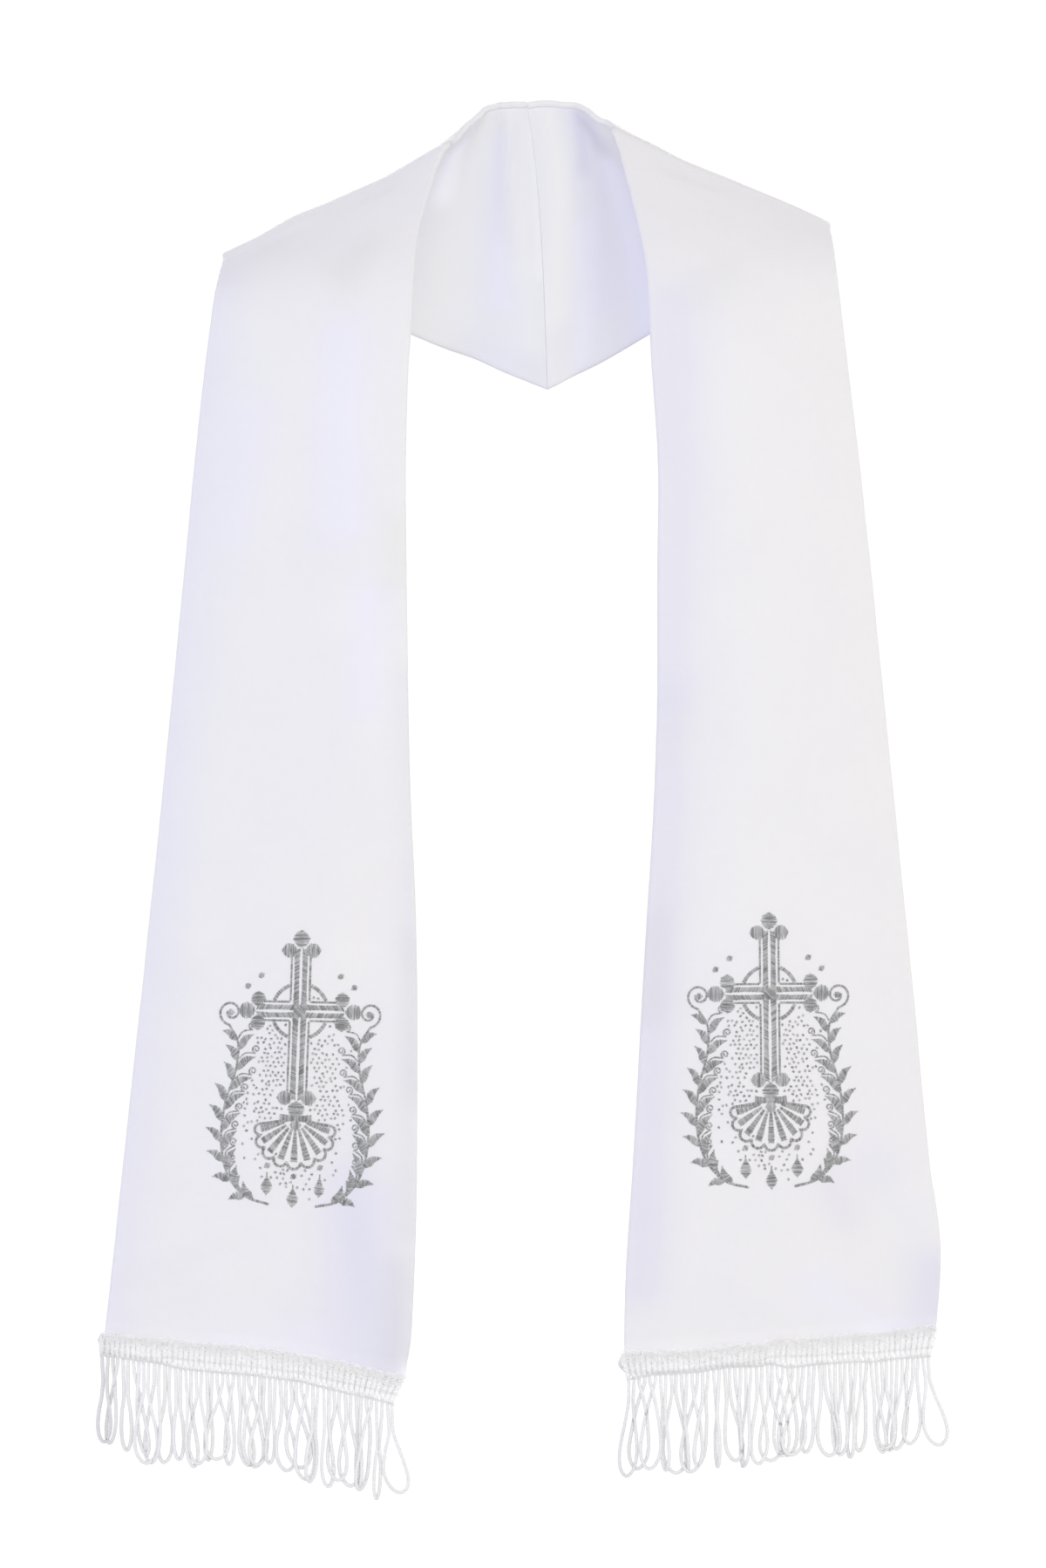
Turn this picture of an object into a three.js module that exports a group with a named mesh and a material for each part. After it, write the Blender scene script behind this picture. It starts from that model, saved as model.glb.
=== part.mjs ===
// A child's baptism stole, in the hollow shape it takes on a wearer, with nobody in it.
// Two lined satin halves meet in a mitred seam behind the neck, run over the shoulders and hang down the
// front, and each one ends in loop fringe on a braided heading.
// Millimetres, +Z up. The front faces -Y, and left is -X. The origin is where the stole is held: midway
// between the two places where its neck edge lies on the shoulders.
import * as THREE from "three";

const layer = 1.0; // one wall of cloth: the face, or the lining under it
const seamGap = 0.3; // left clear between two pieces that are sewn together

const heading = {
  depth: 10, // height of the braided heading of the fringe
  lap: 5.5, // how much of it lies on the cloth; the rest hangs below the hem
  thickness: 1.6,
  overhang: 0.6, // how far its turned ends stand out past the edges of the cloth
};
const loops = {
  drop: 35, // length of the hanging loops
  topThickness: 2.4,
  bottomThickness: 6.4, // the loops swing a little way in and out at their rounded ends
  neckFlare: 0.9, // how far the end loops lean out past the heading
  outerFlare: 3.2,
};
const hemReach = 60; // length of cloth over which the arch of the hem dies out

const mesh = {
  crossSteps: 10, // facets from the neck edge to the outer edge
  stretches: [
    { until: 64, step: 5 }, // round the neck
    { until: 192, step: 9 }, // over the shoulder and onto the chest
    { until: Infinity, step: 24 }, // down the front, as far as the heading of the fringe
  ],
};

// Names the numbers of each row by the columns.
function table(columns, rows) {
  return rows.map((row) => Object.fromEntries(columns.map((name, i) => [name, row[i]])));
}

// Each half is a run of straight cross-lines from the neck edge (inner) to the outer edge, one a row,
// from the seam behind the neck to the hem. bow is how far the cloth stands out from the cross-line midway.
const sectionColumns = ["innerX", "innerY", "innerZ", "outerX", "outerY", "outerZ", "bow"];
const leftSections = table(sectionColumns, [
  [0, 36, 28.5, 8.5, 66, -80.4, 3], // nape seam
  [-10.2, 34.5, 27.7, -33, 62.5, -64.2, 4], // round the back of the neck
  [-19.8, 28.5, 20.6, -69.5, 48.5, -49.2, 4.5],
  [-25.7, 19.5, 12.6, -98, 27, -39.2, 3.5],
  [-29.4, 9.5, 8.6, -113.8, 6, -33.9, 0], // ridge of the shoulder
  [-32.4, 2.5, 2.4, -114.2, -1, -36.4, 0.5],
  [-35, -7, -6.4, -114.6, -9, -39.4, 1],
  [-37.8, -18.5, -17, -115.1, -16.5, -42.8, 1.5],
  [-40.4, -31, -30, -115.6, -23, -46.7, 2],
  [-41.4, -43, -45, -116.2, -28.5, -51.8, 3],
  [-42.2, -50.5, -62, -117.2, -33, -60.2, 4], // where the slope of the shoulder turns down
  [-43.5, -55.5, -84, -119.2, -37, -77, 5],
  [-44.2, -59.5, -117, -122.4, -42, -110, 5], // chest
  [-43.8, -62.5, -161, -126.7, -46, -156, 5],
  [-42.7, -66, -225, -133, -51, -225, 5],
  [-40.1, -68.5, -297, -140.2, -54.5, -296, 4.5],
  [-39.9, -70, -374, -148.2, -57.5, -370, 4],
  [-41, -70.5, -417, -152, -59, -407, 3.5],
  [-43.2, -70.5, -457, -155.8, -60, -441, 3], // hem
]);
const rightSections = table(sectionColumns, [
  [0, 36, 28.1, 8.5, 66, -80.4, 3], // nape seam
  [6.3, 35.4, 28.8, 24, 64.4, -73.6, 3.5], // round the back of the neck
  [12.4, 34, 28.2, 41, 61.5, -63.6, 4],
  [24.5, 28, 24.3, 75.5, 47.5, -43.3, 4.5],
  [31.1, 19.5, 18.5, 101, 27, -30.4, 3.5],
  [33, 9.5, 13.9, 114.6, 6, -22.2, 0.8], // ridge of the shoulder
  [35.2, 2.5, 7.1, 115.1, -1, -25, 1],
  [37.1, -7, -1.7, 115.5, -9, -28.8, 1.2],
  [39.6, -18.5, -13, 115.8, -16.5, -33.2, 1.5],
  [42.1, -31, -26, 116, -23, -38.2, 2],
  [44.6, -42.5, -41, 116.5, -28.5, -44.6, 3],
  [45.6, -50, -58, 117.4, -33, -54, 4], // where the slope of the shoulder turns down
  [46.8, -55, -80, 119.1, -37, -72, 5],
  [48.9, -59, -114, 122.9, -42, -106, 5], // chest
  [48.6, -62, -156, 127.7, -46, -152, 5],
  [48, -65, -225, 134.8, -51, -225, 5],
  [43.7, -67.5, -297, 141.7, -54.5, -296, 4.5],
  [39.3, -69, -374, 149, -57.5, -373, 4],
  [36.7, -69.5, -414, 152.8, -58.5, -406, 3.5],
  [35.9, -69.5, -448, 150.9, -59, -439, 3], // hem
]);

// Soft folds, each along a straight line on the flat cloth. along is the distance from the nape seam, and
// across runs from 0 at the neck edge to 1 at the outer edge. A fold with a depth above 0 stands out.
const foldColumns = ["fromAlong", "fromAcross", "toAlong", "toAcross", "halfWidth", "depth"];
const leftFolds = table(foldColumns, [
  [24, -0.1, 9, 0.5, 6, -1.8], // flutes behind the neck
  [38, -0.1, 17, 1.1, 7, 2.4],
  [84, 0.27, 106, 0.27, 12, -1.2], // over the shoulder
  [84, 0.7, 106, 0.7, 12, 1.1],
  [168, 0.42, 252, 0.5, 11, -1.6], // down the chest
  [290, 0.8, 400, 0.86, 13, 1.6],
  [380, 0.12, 470, 0.3, 12, -1.8],
  [486, 0.3, 553, 0.12, 13, -2.6], // towards the hem
]);
const rightFolds = table(foldColumns, [
  [39, -0.1, 6, 1.1, 8, 2.8], // flutes behind the neck
  [60, -0.1, 46, 1.1, 8, -2],
  [80, 0.32, 102, 0.32, 16, -1.2], // over the shoulder
  [180, 0.14, 330, 0.2, 12, -2], // down the chest
  [330, 0.1, 470, 0.22, 13, -1.8],
  [430, 0.62, 545, 0.86, 14, -2], // towards the hem
  [500, 1.02, 551, 0.96, 10, 2],
]);

const leftHemArch = 2.9; // how far the middle of the left hem lies above the straight line between its corners

const napeSway = 2.2; // how far the nape seam wanders to the right between its two ends
const swayLength = 40; // length of cloth over which that wandering dies out

const cornerAlong = 6; // folds die out over this much cloth beside the nape seam

function clamped(t) {
  return Math.min(1, Math.max(0, t));
}

function smooth(t) {
  const x = clamped(t);
  return x * x * (3 - 2 * x);
}

// A half of the stole: its sections, with the distance of each from the nape seam along the middle.
function half(side, sections, folds, hemArch) {
  const middle = (s) =>
    new THREE.Vector3(s.innerX + s.outerX, s.innerY + s.outerY, s.innerZ + s.outerZ).multiplyScalar(0.5);
  let along = 0;
  const placed = sections.map((section, i) => {
    if (i > 0) along += middle(section).distanceTo(middle(sections[i - 1]));
    return { ...section, along };
  });
  return { side, sections: placed, folds, hemArch, length: along };
}

// One column of the section table at any distance along, as a smooth curve through the rows.
function columnAt(stole, name, along) {
  const rows = stole.sections;
  const last = rows.length - 1;
  const slope = (i) => {
    const before = rows[Math.max(0, i - 1)];
    const after = rows[Math.min(last, i + 1)];
    return (after[name] - before[name]) / (after.along - before.along);
  };
  if (along >= stole.length) return rows[last][name];
  const i = rows.findIndex((row) => row.along > along) - 1;
  const span = rows[i + 1].along - rows[i].along;
  const t = (along - rows[i].along) / span;
  const start = (2 * t ** 3 - 3 * t ** 2 + 1) * rows[i][name] + (t ** 3 - 2 * t ** 2 + t) * span * slope(i);
  const end = (3 * t ** 2 - 2 * t ** 3) * rows[i + 1][name] + (t ** 3 - t ** 2) * span * slope(i + 1);
  return start + end;
}

// How far the folds lift the cloth at a place on it.
function foldLift(stole, along, across, width) {
  let lift = 0;
  for (const fold of stole.folds) {
    const runX = fold.toAlong - fold.fromAlong;
    const runY = (fold.toAcross - fold.fromAcross) * width;
    const fromX = along - fold.fromAlong;
    const fromY = (across - fold.fromAcross) * width;
    const share = (fromX * runX + fromY * runY) / (runX ** 2 + runY ** 2);
    const away = Math.hypot(fromX - clamped(share) * runX, fromY - clamped(share) * runY);
    const fade = smooth(share * 3 + 1) * smooth((1 - share) * 3 + 1);
    lift += fold.depth * fade * Math.exp(-((away / fold.halfWidth) ** 2));
  }
  return lift * smooth(along / cornerAlong);
}

// The straight cross-line of the cloth at a distance along. Past the hem it goes straight down.
function crossLine(stole, along) {
  const at = (name) => columnAt(stole, name, along);
  const below = Math.max(0, along - stole.length);
  return {
    inner: new THREE.Vector3(at("innerX"), at("innerY"), at("innerZ") - below),
    outer: new THREE.Vector3(at("outerX"), at("outerY"), at("outerZ") - below),
    bow: at("bow"),
  };
}

// Outward direction of the ruled cloth, before its bow and folds. At the nape seam both halves share it.
function outward(stole, along) {
  const reach = 2;
  const line = crossLine(stole, along);
  const across = line.outer.clone().sub(line.inner);
  if (along < 1e-6) {
    const seam = across.normalize();
    return new THREE.Vector3(0, 1, 0).addScaledVector(seam, -seam.y).normalize();
  }
  const before = crossLine(stole, Math.max(0, along - reach));
  const after = crossLine(stole, along + reach);
  const run = after.inner.add(after.outer).sub(before.inner).sub(before.outer);
  return run.cross(across).multiplyScalar(stole.side).normalize();
}

// A point of the middle of the cloth, between the face and the lining.
function clothPoint(stole, along, across) {
  const line = crossLine(stole, along);
  const width = line.inner.distanceTo(line.outer);
  const crown = line.bow * 4 * across * (1 - across);
  const point = line.inner.clone().lerp(line.outer, across);
  point.addScaledVector(outward(stole, along), crown + foldLift(stole, along, across, width));
  const gap = stole.side * 0.5 * seamGap * (1 - smooth(along / cornerAlong));
  const sway = napeSway * Math.sin(Math.PI * clamped(across) ** 0.7) * (1 - smooth(along / swayLength));
  point.x += gap + sway;
  const arch = Math.sin(Math.PI * clamped(across) ** 0.8) ** 2;
  point.z += stole.hemArch * arch * smooth(1 - (stole.length - along) / hemReach);
  return point;
}

// The outward direction of the finished cloth at a place on it.
function clothNormal(stole, along, across) {
  if (along < 1e-6) return outward(stole, 0);
  const step = 1;
  const sideways = 0.01;
  const run = clothPoint(stole, along + step, across);
  run.sub(clothPoint(stole, Math.max(0, along - step), across));
  const cross = clothPoint(stole, along, across + sideways);
  cross.sub(clothPoint(stole, along, across - sideways));
  return run.cross(cross).multiplyScalar(stole.side).normalize();
}

// A closed wall over rows of places on the cloth. near and far are the heights of its two faces over the
// middle of the cloth at each place.
function wall(stole, rows) {
  const down = rows.length;
  const wide = rows[0].length;
  const positions = [];
  for (const pick of ["far", "near"]) {
    for (const row of rows) {
      for (const place of row) {
        const point = clothPoint(stole, place.along, place.across);
        point.addScaledVector(clothNormal(stole, place.along, place.across), place[pick]);
        positions.push(point.x, point.y, point.z);
      }
    }
  }
  const faces = [];
  const quad = (a, b, c, d) => faces.push(a, b, c, a, c, d);
  const far = (i, j) => i * wide + j;
  const near = (i, j) => down * wide + far(i, j);
  for (let i = 0; i < down - 1; i++) {
    for (let j = 0; j < wide - 1; j++) {
      quad(far(i, j), far(i + 1, j), far(i + 1, j + 1), far(i, j + 1));
      quad(near(i, j), near(i, j + 1), near(i + 1, j + 1), near(i + 1, j));
    }
    quad(far(i, 0), near(i, 0), near(i + 1, 0), far(i + 1, 0));
    quad(far(i, wide - 1), far(i + 1, wide - 1), near(i + 1, wide - 1), near(i, wide - 1));
  }
  for (let j = 0; j < wide - 1; j++) {
    quad(far(0, j), far(0, j + 1), near(0, j + 1), near(0, j));
    quad(far(down - 1, j), near(down - 1, j), near(down - 1, j + 1), far(down - 1, j + 1));
  }
  if (stole.side < 0) {
    for (let k = 0; k < faces.length; k += 3) [faces[k + 1], faces[k + 2]] = [faces[k + 2], faces[k + 1]];
  }
  const geometry = new THREE.BufferGeometry();
  geometry.setAttribute("position", new THREE.Float32BufferAttribute(positions, 3));
  geometry.setIndex(faces);
  geometry.computeVertexNormals();
  return geometry;
}

function evenly(from, to, steps) {
  return Array.from({ length: steps + 1 }, (_, i) => from + ((to - from) * i) / steps);
}

// A full-length layer of a half: the satin face, or the lining beneath it. Its last row of facets is the
// strip that the heading of the fringe covers.
function clothLayer(stole, near, far) {
  const covered = stole.length - heading.lap;
  const alongs = [0];
  for (const { until, step } of mesh.stretches) {
    const from = alongs.at(-1);
    const to = Math.min(until, covered);
    alongs.push(...evenly(from, to, Math.round((to - from) / step)).slice(1));
  }
  alongs.push(stole.length);
  const acrosses = evenly(0, 1, mesh.crossSteps);
  return wall(stole, alongs.map((along) => acrosses.map((across) => ({ along, across, near, far }))));
}

const faceTop = seamGap / 2 + layer; // height of the face's outside over the middle of the cloth

// The braided heading, sewn on the face over the hem.
function fringeHeading(stole) {
  const start = stole.length - heading.lap;
  const sideways = heading.overhang / hemWidth(stole);
  const near = faceTop + seamGap;
  const far = near + heading.thickness;
  const alongs = [start, stole.length, start + heading.depth];
  const acrosses = [-sideways, ...evenly(0, 1, mesh.crossSteps), 1 + sideways];
  return wall(stole, alongs.map((along) => acrosses.map((across) => ({ along, across, near, far }))));
}

// The reach of the hanging loops, as one plain curtain that thickens and flares towards its foot.
function fringeLoops(stole) {
  const start = stole.length - heading.lap + heading.depth + seamGap;
  const middle = faceTop + seamGap + heading.thickness / 2;
  const drops = evenly(0, 1, 5);
  const rows = drops.map((drop) => {
    const swing = smooth(drop * 1.3);
    const neck = (heading.overhang + loops.neckFlare * swing) / hemWidth(stole);
    const outer = (heading.overhang + loops.outerFlare * swing) / hemWidth(stole);
    const thickness = loops.topThickness + (loops.bottomThickness - loops.topThickness) * smooth(drop);
    const acrosses = evenly(-neck, 1 + outer, mesh.crossSteps);
    const along = start + loops.drop * drop;
    return acrosses.map((across) => ({
      along,
      across,
      near: middle - thickness / 2,
      far: middle + thickness / 2,
    }));
  });
  return wall(stole, rows);
}

function hemWidth(stole) {
  const line = crossLine(stole, stole.length);
  return line.inner.distanceTo(line.outer);
}

const satin = new THREE.MeshStandardMaterial({ color: 0xefeef3, roughness: 0.5, metalness: 0 });
const lining = new THREE.MeshStandardMaterial({ color: 0xebeaf1, roughness: 0.55, metalness: 0 });
const braid = new THREE.MeshStandardMaterial({ color: 0xf3f3f4, roughness: 0.65, metalness: 0 });
const cord = new THREE.MeshStandardMaterial({ color: 0xf1f1f4, roughness: 0.55, metalness: 0 });

function named(name, geometry, material) {
  const piece = new THREE.Mesh(geometry, material);
  piece.name = name;
  return piece;
}

// The four pieces that make up one half.
function stoleHalf(label, stole) {
  const group = new THREE.Group();
  group.add(named(`${label}_face`, clothLayer(stole, seamGap / 2, faceTop), satin));
  group.add(named(`${label}_lining`, clothLayer(stole, -faceTop, -seamGap / 2), lining));
  group.add(named(`${label}_fringe_heading`, fringeHeading(stole), braid));
  group.add(named(`${label}_fringe_loops`, fringeLoops(stole), cord));
  return group;
}

const stole = new THREE.Group();
stole.add(stoleHalf("left", half(-1, leftSections, leftFolds, leftHemArch)));
stole.add(stoleHalf("right", half(1, rightSections, rightFolds, 0)));

export default stole;
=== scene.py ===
# A child's baptism stole in white satin: four sewn sheets, loop fringe on its heading, silver embroidery.
# Lengths below are in millimetres and angles in degrees; they become metres where a mesh or lamp is made.
import math

import bmesh
import bpy
import numpy as np
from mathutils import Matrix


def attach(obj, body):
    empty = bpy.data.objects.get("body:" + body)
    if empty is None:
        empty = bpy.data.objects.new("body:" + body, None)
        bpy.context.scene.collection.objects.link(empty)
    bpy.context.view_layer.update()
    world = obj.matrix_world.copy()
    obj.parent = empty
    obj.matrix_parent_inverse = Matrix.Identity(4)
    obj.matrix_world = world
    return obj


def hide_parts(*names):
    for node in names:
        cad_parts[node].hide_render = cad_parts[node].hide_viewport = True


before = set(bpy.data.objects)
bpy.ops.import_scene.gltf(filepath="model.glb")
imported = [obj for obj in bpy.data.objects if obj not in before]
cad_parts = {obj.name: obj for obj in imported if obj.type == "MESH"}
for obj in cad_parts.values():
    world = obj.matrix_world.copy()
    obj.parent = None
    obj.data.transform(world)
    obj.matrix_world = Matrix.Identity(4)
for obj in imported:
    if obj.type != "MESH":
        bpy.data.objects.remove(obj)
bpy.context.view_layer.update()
mm = 0.001
print("frame loaded:", sorted(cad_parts))


# Adding nodes: what feeds an input is a plain value or another node's output
def feed(tree, value, socket):
    if isinstance(value, bpy.types.NodeSocket):
        tree.links.new(value, socket)
    else:
        socket.default_value = value


def addNode(tree, kind, feeds=(), **settings):
    node = tree.nodes.new(kind)
    for key, value in settings.items():
        setattr(node, key, value)
    for key, value in dict(feeds).items():
        feed(tree, value, node.inputs[key])
    return node


def outputOf(tree, kind, feeds=(), **settings):
    return addNode(tree, kind, feeds, **settings).outputs[0]


def mathNode(tree, operation, *values):
    return outputOf(tree, "ShaderNodeMath", enumerate(values), operation=operation)


def newMaterial(name):
    material = bpy.data.materials.new(name)
    material.use_nodes = True
    return material, material.node_tree


def shaded(material, inputs):
    # feeds the inputs of the material's own shader
    tree = material.node_tree
    for key, value in inputs.items():
        feed(tree, value, tree.nodes["Principled BSDF"].inputs[key])
    return material


# The studio: a white floor and dome, four large lamps and ambient light
studio = {
    "cameraPlace": (-1, -2300, -234),
    "lens": 139.45,
    "sensor": 36,
    "farthest": 100000,  # that the camera sees
    "floorHeight": -600,
    "floorReach": 6000,
    "floorSides": 96,
    "domeReach": 5880,
    "domeSides": (64, 32),
    "stageColour": (0.02, 0.02, 0.02, 1),
    "ambient": (0.78, 0.77, 0.80, 1),
    "lampDistance": 2600,
    "lampSize": 1700,
    "aim": (0, 0, -230),
}
lamps = [  # name, direction from the stole, watts, colour
    ("front", (0.1, -1, 0.2), 15.2, (0.965, 1.0, 0.995)),
    ("left", (-1, -0.1, 0), 9.2, (0.32, 0.47, 1.0)),
    ("right", (1, -0.1, 0), 5.9, (1.0, 0.93, 0.25)),
    ("back", (0, 0.9, 0.25), 12, (0.98, 1.0, 1.0)),
]


def placed(thing):
    bpy.context.scene.collection.objects.link(thing)
    return thing


def aimed(thing, direction):
    run = -np.array(direction, float) / np.linalg.norm(direction) * studio["lampDistance"]
    thing.location = (np.array(studio["aim"]) - run) * mm
    tilt = math.atan2(math.hypot(run[0], run[1]), -run[2])
    thing.rotation_euler = (tilt, 0, math.atan2(run[1], run[0]) - math.pi / 2)


def makeStudio():
    scene = bpy.context.scene
    scene.view_settings.view_transform = "Standard"
    cameraData = bpy.data.cameras.new("camera")
    cameraData.lens = studio["lens"]
    cameraData.sensor_width = studio["sensor"]
    cameraData.clip_end = studio["farthest"] * mm
    camera = placed(bpy.data.objects.new("camera", cameraData))
    camera.location = [v * mm for v in studio["cameraPlace"]]
    camera.rotation_euler = (math.radians(90), 0, 0)
    scene.camera = camera

    world = bpy.data.worlds.new("ambient")
    world.use_nodes = True
    world.node_tree.nodes["Background"].inputs["Color"].default_value = studio["ambient"]
    scene.world = world

    for name, direction, watts, colour in lamps:
        lamp = bpy.data.lights.new(name, "AREA")
        lamp.shape = "DISK"
        lamp.size = studio["lampSize"] * mm
        lamp.energy = watts
        lamp.color = colour
        aimed(placed(bpy.data.objects.new(name, lamp)), direction)

    floor, dome = bmesh.new(), bmesh.new()
    sides, reach = studio["floorSides"], studio["floorReach"] * mm
    bmesh.ops.create_circle(floor, cap_ends=True, segments=sides, radius=reach)
    around, up = studio["domeSides"]
    bmesh.ops.create_uvsphere(dome, u_segments=around, v_segments=up, radius=studio["domeReach"] * mm)
    bmesh.ops.reverse_faces(dome, faces=dome.faces)
    for name, shape in (("floor", floor), ("backdrop", dome)):
        bmesh.ops.translate(shape, verts=shape.verts, vec=(0, 0, studio["floorHeight"] * mm))
        thing = linked(name, shape)
        white = shaded(newMaterial(name + "White")[0], {
            "Base Color": studio["stageColour"],
            "Roughness": 0.9,
            "Emission Color": (1, 1, 1, 1),
            "Emission Strength": 1,
        })
        thing.data.materials.append(white)
        # it is only seen; the lamps and the ambient light the cloth
        for ray in ("diffuse", "glossy", "transmission", "shadow"):
            setattr(thing, "visible_" + ray, False)


def linked(name, shape):
    mesh = bpy.data.meshes.new(name)
    shape.to_mesh(mesh)
    shape.free()
    return placed(bpy.data.objects.new(name, mesh))


makeStudio()
print("studio made")


# The cloth's form, the same as the solids'
layer = 1.0  # one wall of cloth
seamGap = 0.3
faceTop = seamGap / 2 + layer  # height of the satin's outside over the middle of the cloth
headingLap = 5.5  # the heading starts this far above the hem
hemReach = 60  # length of cloth over which the arch of a hem dies out
hemLean = 0.8  # below 1, the top of that arch lies nearer the neck side
cornerReach = (20, 5)  # length and width of cloth over which a drawn-up corner dies out
napeSway = 2.2  # how far the middle of the cloth lies sideways at the nape seam
napeLean = 0.7
swayLength = 40  # length of cloth over which this dies out
cornerAlong = 6  # folds grow from nothing over this length from the nape seam
foldFade = 3  # how soon a fold dies out past its ends
blendAlong = 5  # the seam's own outward direction gives way to the cloth's over this length

# Cross-lines from the neck edge to the outer edge: innerX, innerY, innerZ, outerX, outerY, outerZ, bow
leftSections = [
    (0, 36, 28.5, 8.5, 66, -80.4, 3),  # nape seam
    (-10.2, 34.5, 27.7, -33, 62.5, -64.2, 4),  # round the back of the neck
    (-19.8, 28.5, 20.6, -69.5, 48.5, -49.2, 4.5),
    (-25.7, 19.5, 12.6, -98, 27, -39.2, 3.5),
    (-29.4, 9.5, 8.6, -113.8, 6, -33.9, 0),  # ridge of the shoulder
    (-32.4, 2.5, 2.4, -114.2, -1, -36.4, 0.5),
    (-35, -7, -6.4, -114.6, -9, -39.4, 1),
    (-37.8, -18.5, -17, -115.1, -16.5, -42.8, 1.5),
    (-40.4, -31, -30, -115.6, -23, -46.7, 2),
    (-41.4, -43, -45, -116.2, -28.5, -51.8, 3),
    (-42.2, -50.5, -62, -117.2, -33, -60.2, 4),  # where the slope of the shoulder turns down
    (-43.5, -55.5, -84, -119.2, -37, -77, 5),
    (-44.2, -59.5, -117, -122.4, -42, -110, 5),  # chest
    (-43.8, -62.5, -161, -126.7, -46, -156, 5),
    (-42.7, -66, -225, -133, -51, -225, 5),
    (-40.1, -68.5, -297, -140.2, -54.5, -296, 4.5),
    (-39.9, -70, -374, -148.2, -57.5, -370, 4),
    (-41, -70.5, -417, -152, -59, -407, 3.5),
    (-43.2, -70.5, -457, -155.8, -60, -441, 3),  # hem
]
rightSections = [
    (0, 36, 28.1, 8.5, 66, -80.4, 3),  # nape seam
    (6.3, 35.4, 28.8, 24, 64.4, -73.6, 3.5),  # round the back of the neck
    (12.4, 34, 28.2, 41, 61.5, -63.6, 4),
    (24.5, 28, 24.3, 75.5, 47.5, -43.3, 4.5),
    (31.1, 19.5, 18.5, 101, 27, -30.4, 3.5),
    (33, 9.5, 13.9, 114.6, 6, -22.2, 0.8),  # ridge of the shoulder
    (35.2, 2.5, 7.1, 115.1, -1, -25, 1),
    (37.1, -7, -1.7, 115.5, -9, -28.8, 1.2),
    (39.6, -18.5, -13, 115.8, -16.5, -33.2, 1.5),
    (42.1, -31, -26, 116, -23, -38.2, 2),
    (44.6, -42.5, -41, 116.5, -28.5, -44.6, 3),
    (45.6, -50, -58, 117.4, -33, -54, 4),  # where the slope of the shoulder turns down
    (46.8, -55, -80, 119.1, -37, -72, 5),
    (48.9, -59, -114, 122.9, -42, -106, 5),  # chest
    (48.6, -62, -156, 127.7, -46, -152, 5),
    (48, -65, -225, 134.8, -51, -225, 5),
    (43.7, -67.5, -297, 141.7, -54.5, -296, 4.5),
    (39.3, -69, -374, 149, -57.5, -373, 4),
    (36.7, -69.5, -414, 152.8, -58.5, -406, 3.5),
    (35.9, -69.5, -448, 150.9, -59, -439, 3),  # hem
]

# Folds along straight lines of the flat cloth: fromAlong, fromAcross, toAlong, toAcross, halfWidth, depth
leftFolds = [
    (24, -0.1, 9, 0.5, 6, -1.8),  # flutes behind the neck
    (38, -0.1, 17, 1.1, 7, 2.4),
    (84, 0.27, 106, 0.27, 12, -1.2),  # over the shoulder
    (84, 0.7, 106, 0.7, 12, 1.1),
    (168, 0.42, 252, 0.5, 11, -1.6),  # down the chest
    (290, 0.8, 400, 0.86, 13, 1.6),
    (380, 0.12, 470, 0.3, 12, -1.8),
    (486, 0.3, 553, 0.12, 13, -2.6),  # towards the hem
]
rightFolds = [
    (39, -0.1, 6, 1.1, 8, 2.8),  # flutes behind the neck
    (60, -0.1, 46, 1.1, 8, -2),
    (80, 0.32, 102, 0.32, 16, -1.2),  # over the shoulder
    (180, 0.14, 330, 0.2, 12, -2),  # down the chest
    (330, 0.1, 470, 0.22, 13, -1.8),
    (430, 0.62, 545, 0.86, 14, -2),  # towards the hem
    (500, 1.02, 551, 0.96, 10, 2),
]
# Lesser creases and dents, too slight for the solids, in the same columns
leftCreases = [
    (25, -0.1, 18, 1.05, 4.5, 1.5),  # behind the neck
    (15, 0.1, 5, 0.9, 4.5, -1.5),
    (62, 0.1, 78, 0.5, 5, 0.35),
    (70, 0.9, 92, 0.55, 6, -0.3),
    (118, 0.35, 150, 0.2, 7, 0.4),
    (505, 0.62, 524, 0.98, 3.5, 0.45),
    (512, 0.56, 532, 0.9, 4, -0.35),
    (300, 0.15, 352, 0.3, 7, 0.35),
    (205, 0.75, 262, 0.7, 8, 0.3),
]
rightCreases = [
    (36, 0.14, 8, 1.05, 6, 1.4),  # behind the neck
    (51, 0.14, 36, 1.1, 8, -2.4),
    (66, 0.45, 84, 0.2, 6, 0.35),
    (112, 0.75, 138, 0.55, 7, -0.35),
    (148, 0.3, 185, 0.45, 7, 0.35),
    (520, 0.3, 540, 0.55, 5, 0.3),
    (255, 0.6, 320, 0.72, 8, -0.3),
    (395, 0.85, 432, 0.98, 5, 0.35),
]
unevenness = {
    "waves": 7,
    "shortest": 26,
    "longest": 80,
    "height": 0.09,  # of each wave
    "puckerHeight": 0.13,  # along the sewn edges
    "puckerReach": 4.5,
    "puckerSpacing": 11,
    "puckerWander": 1.7,
    "wanderReach": 23,
}

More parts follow.
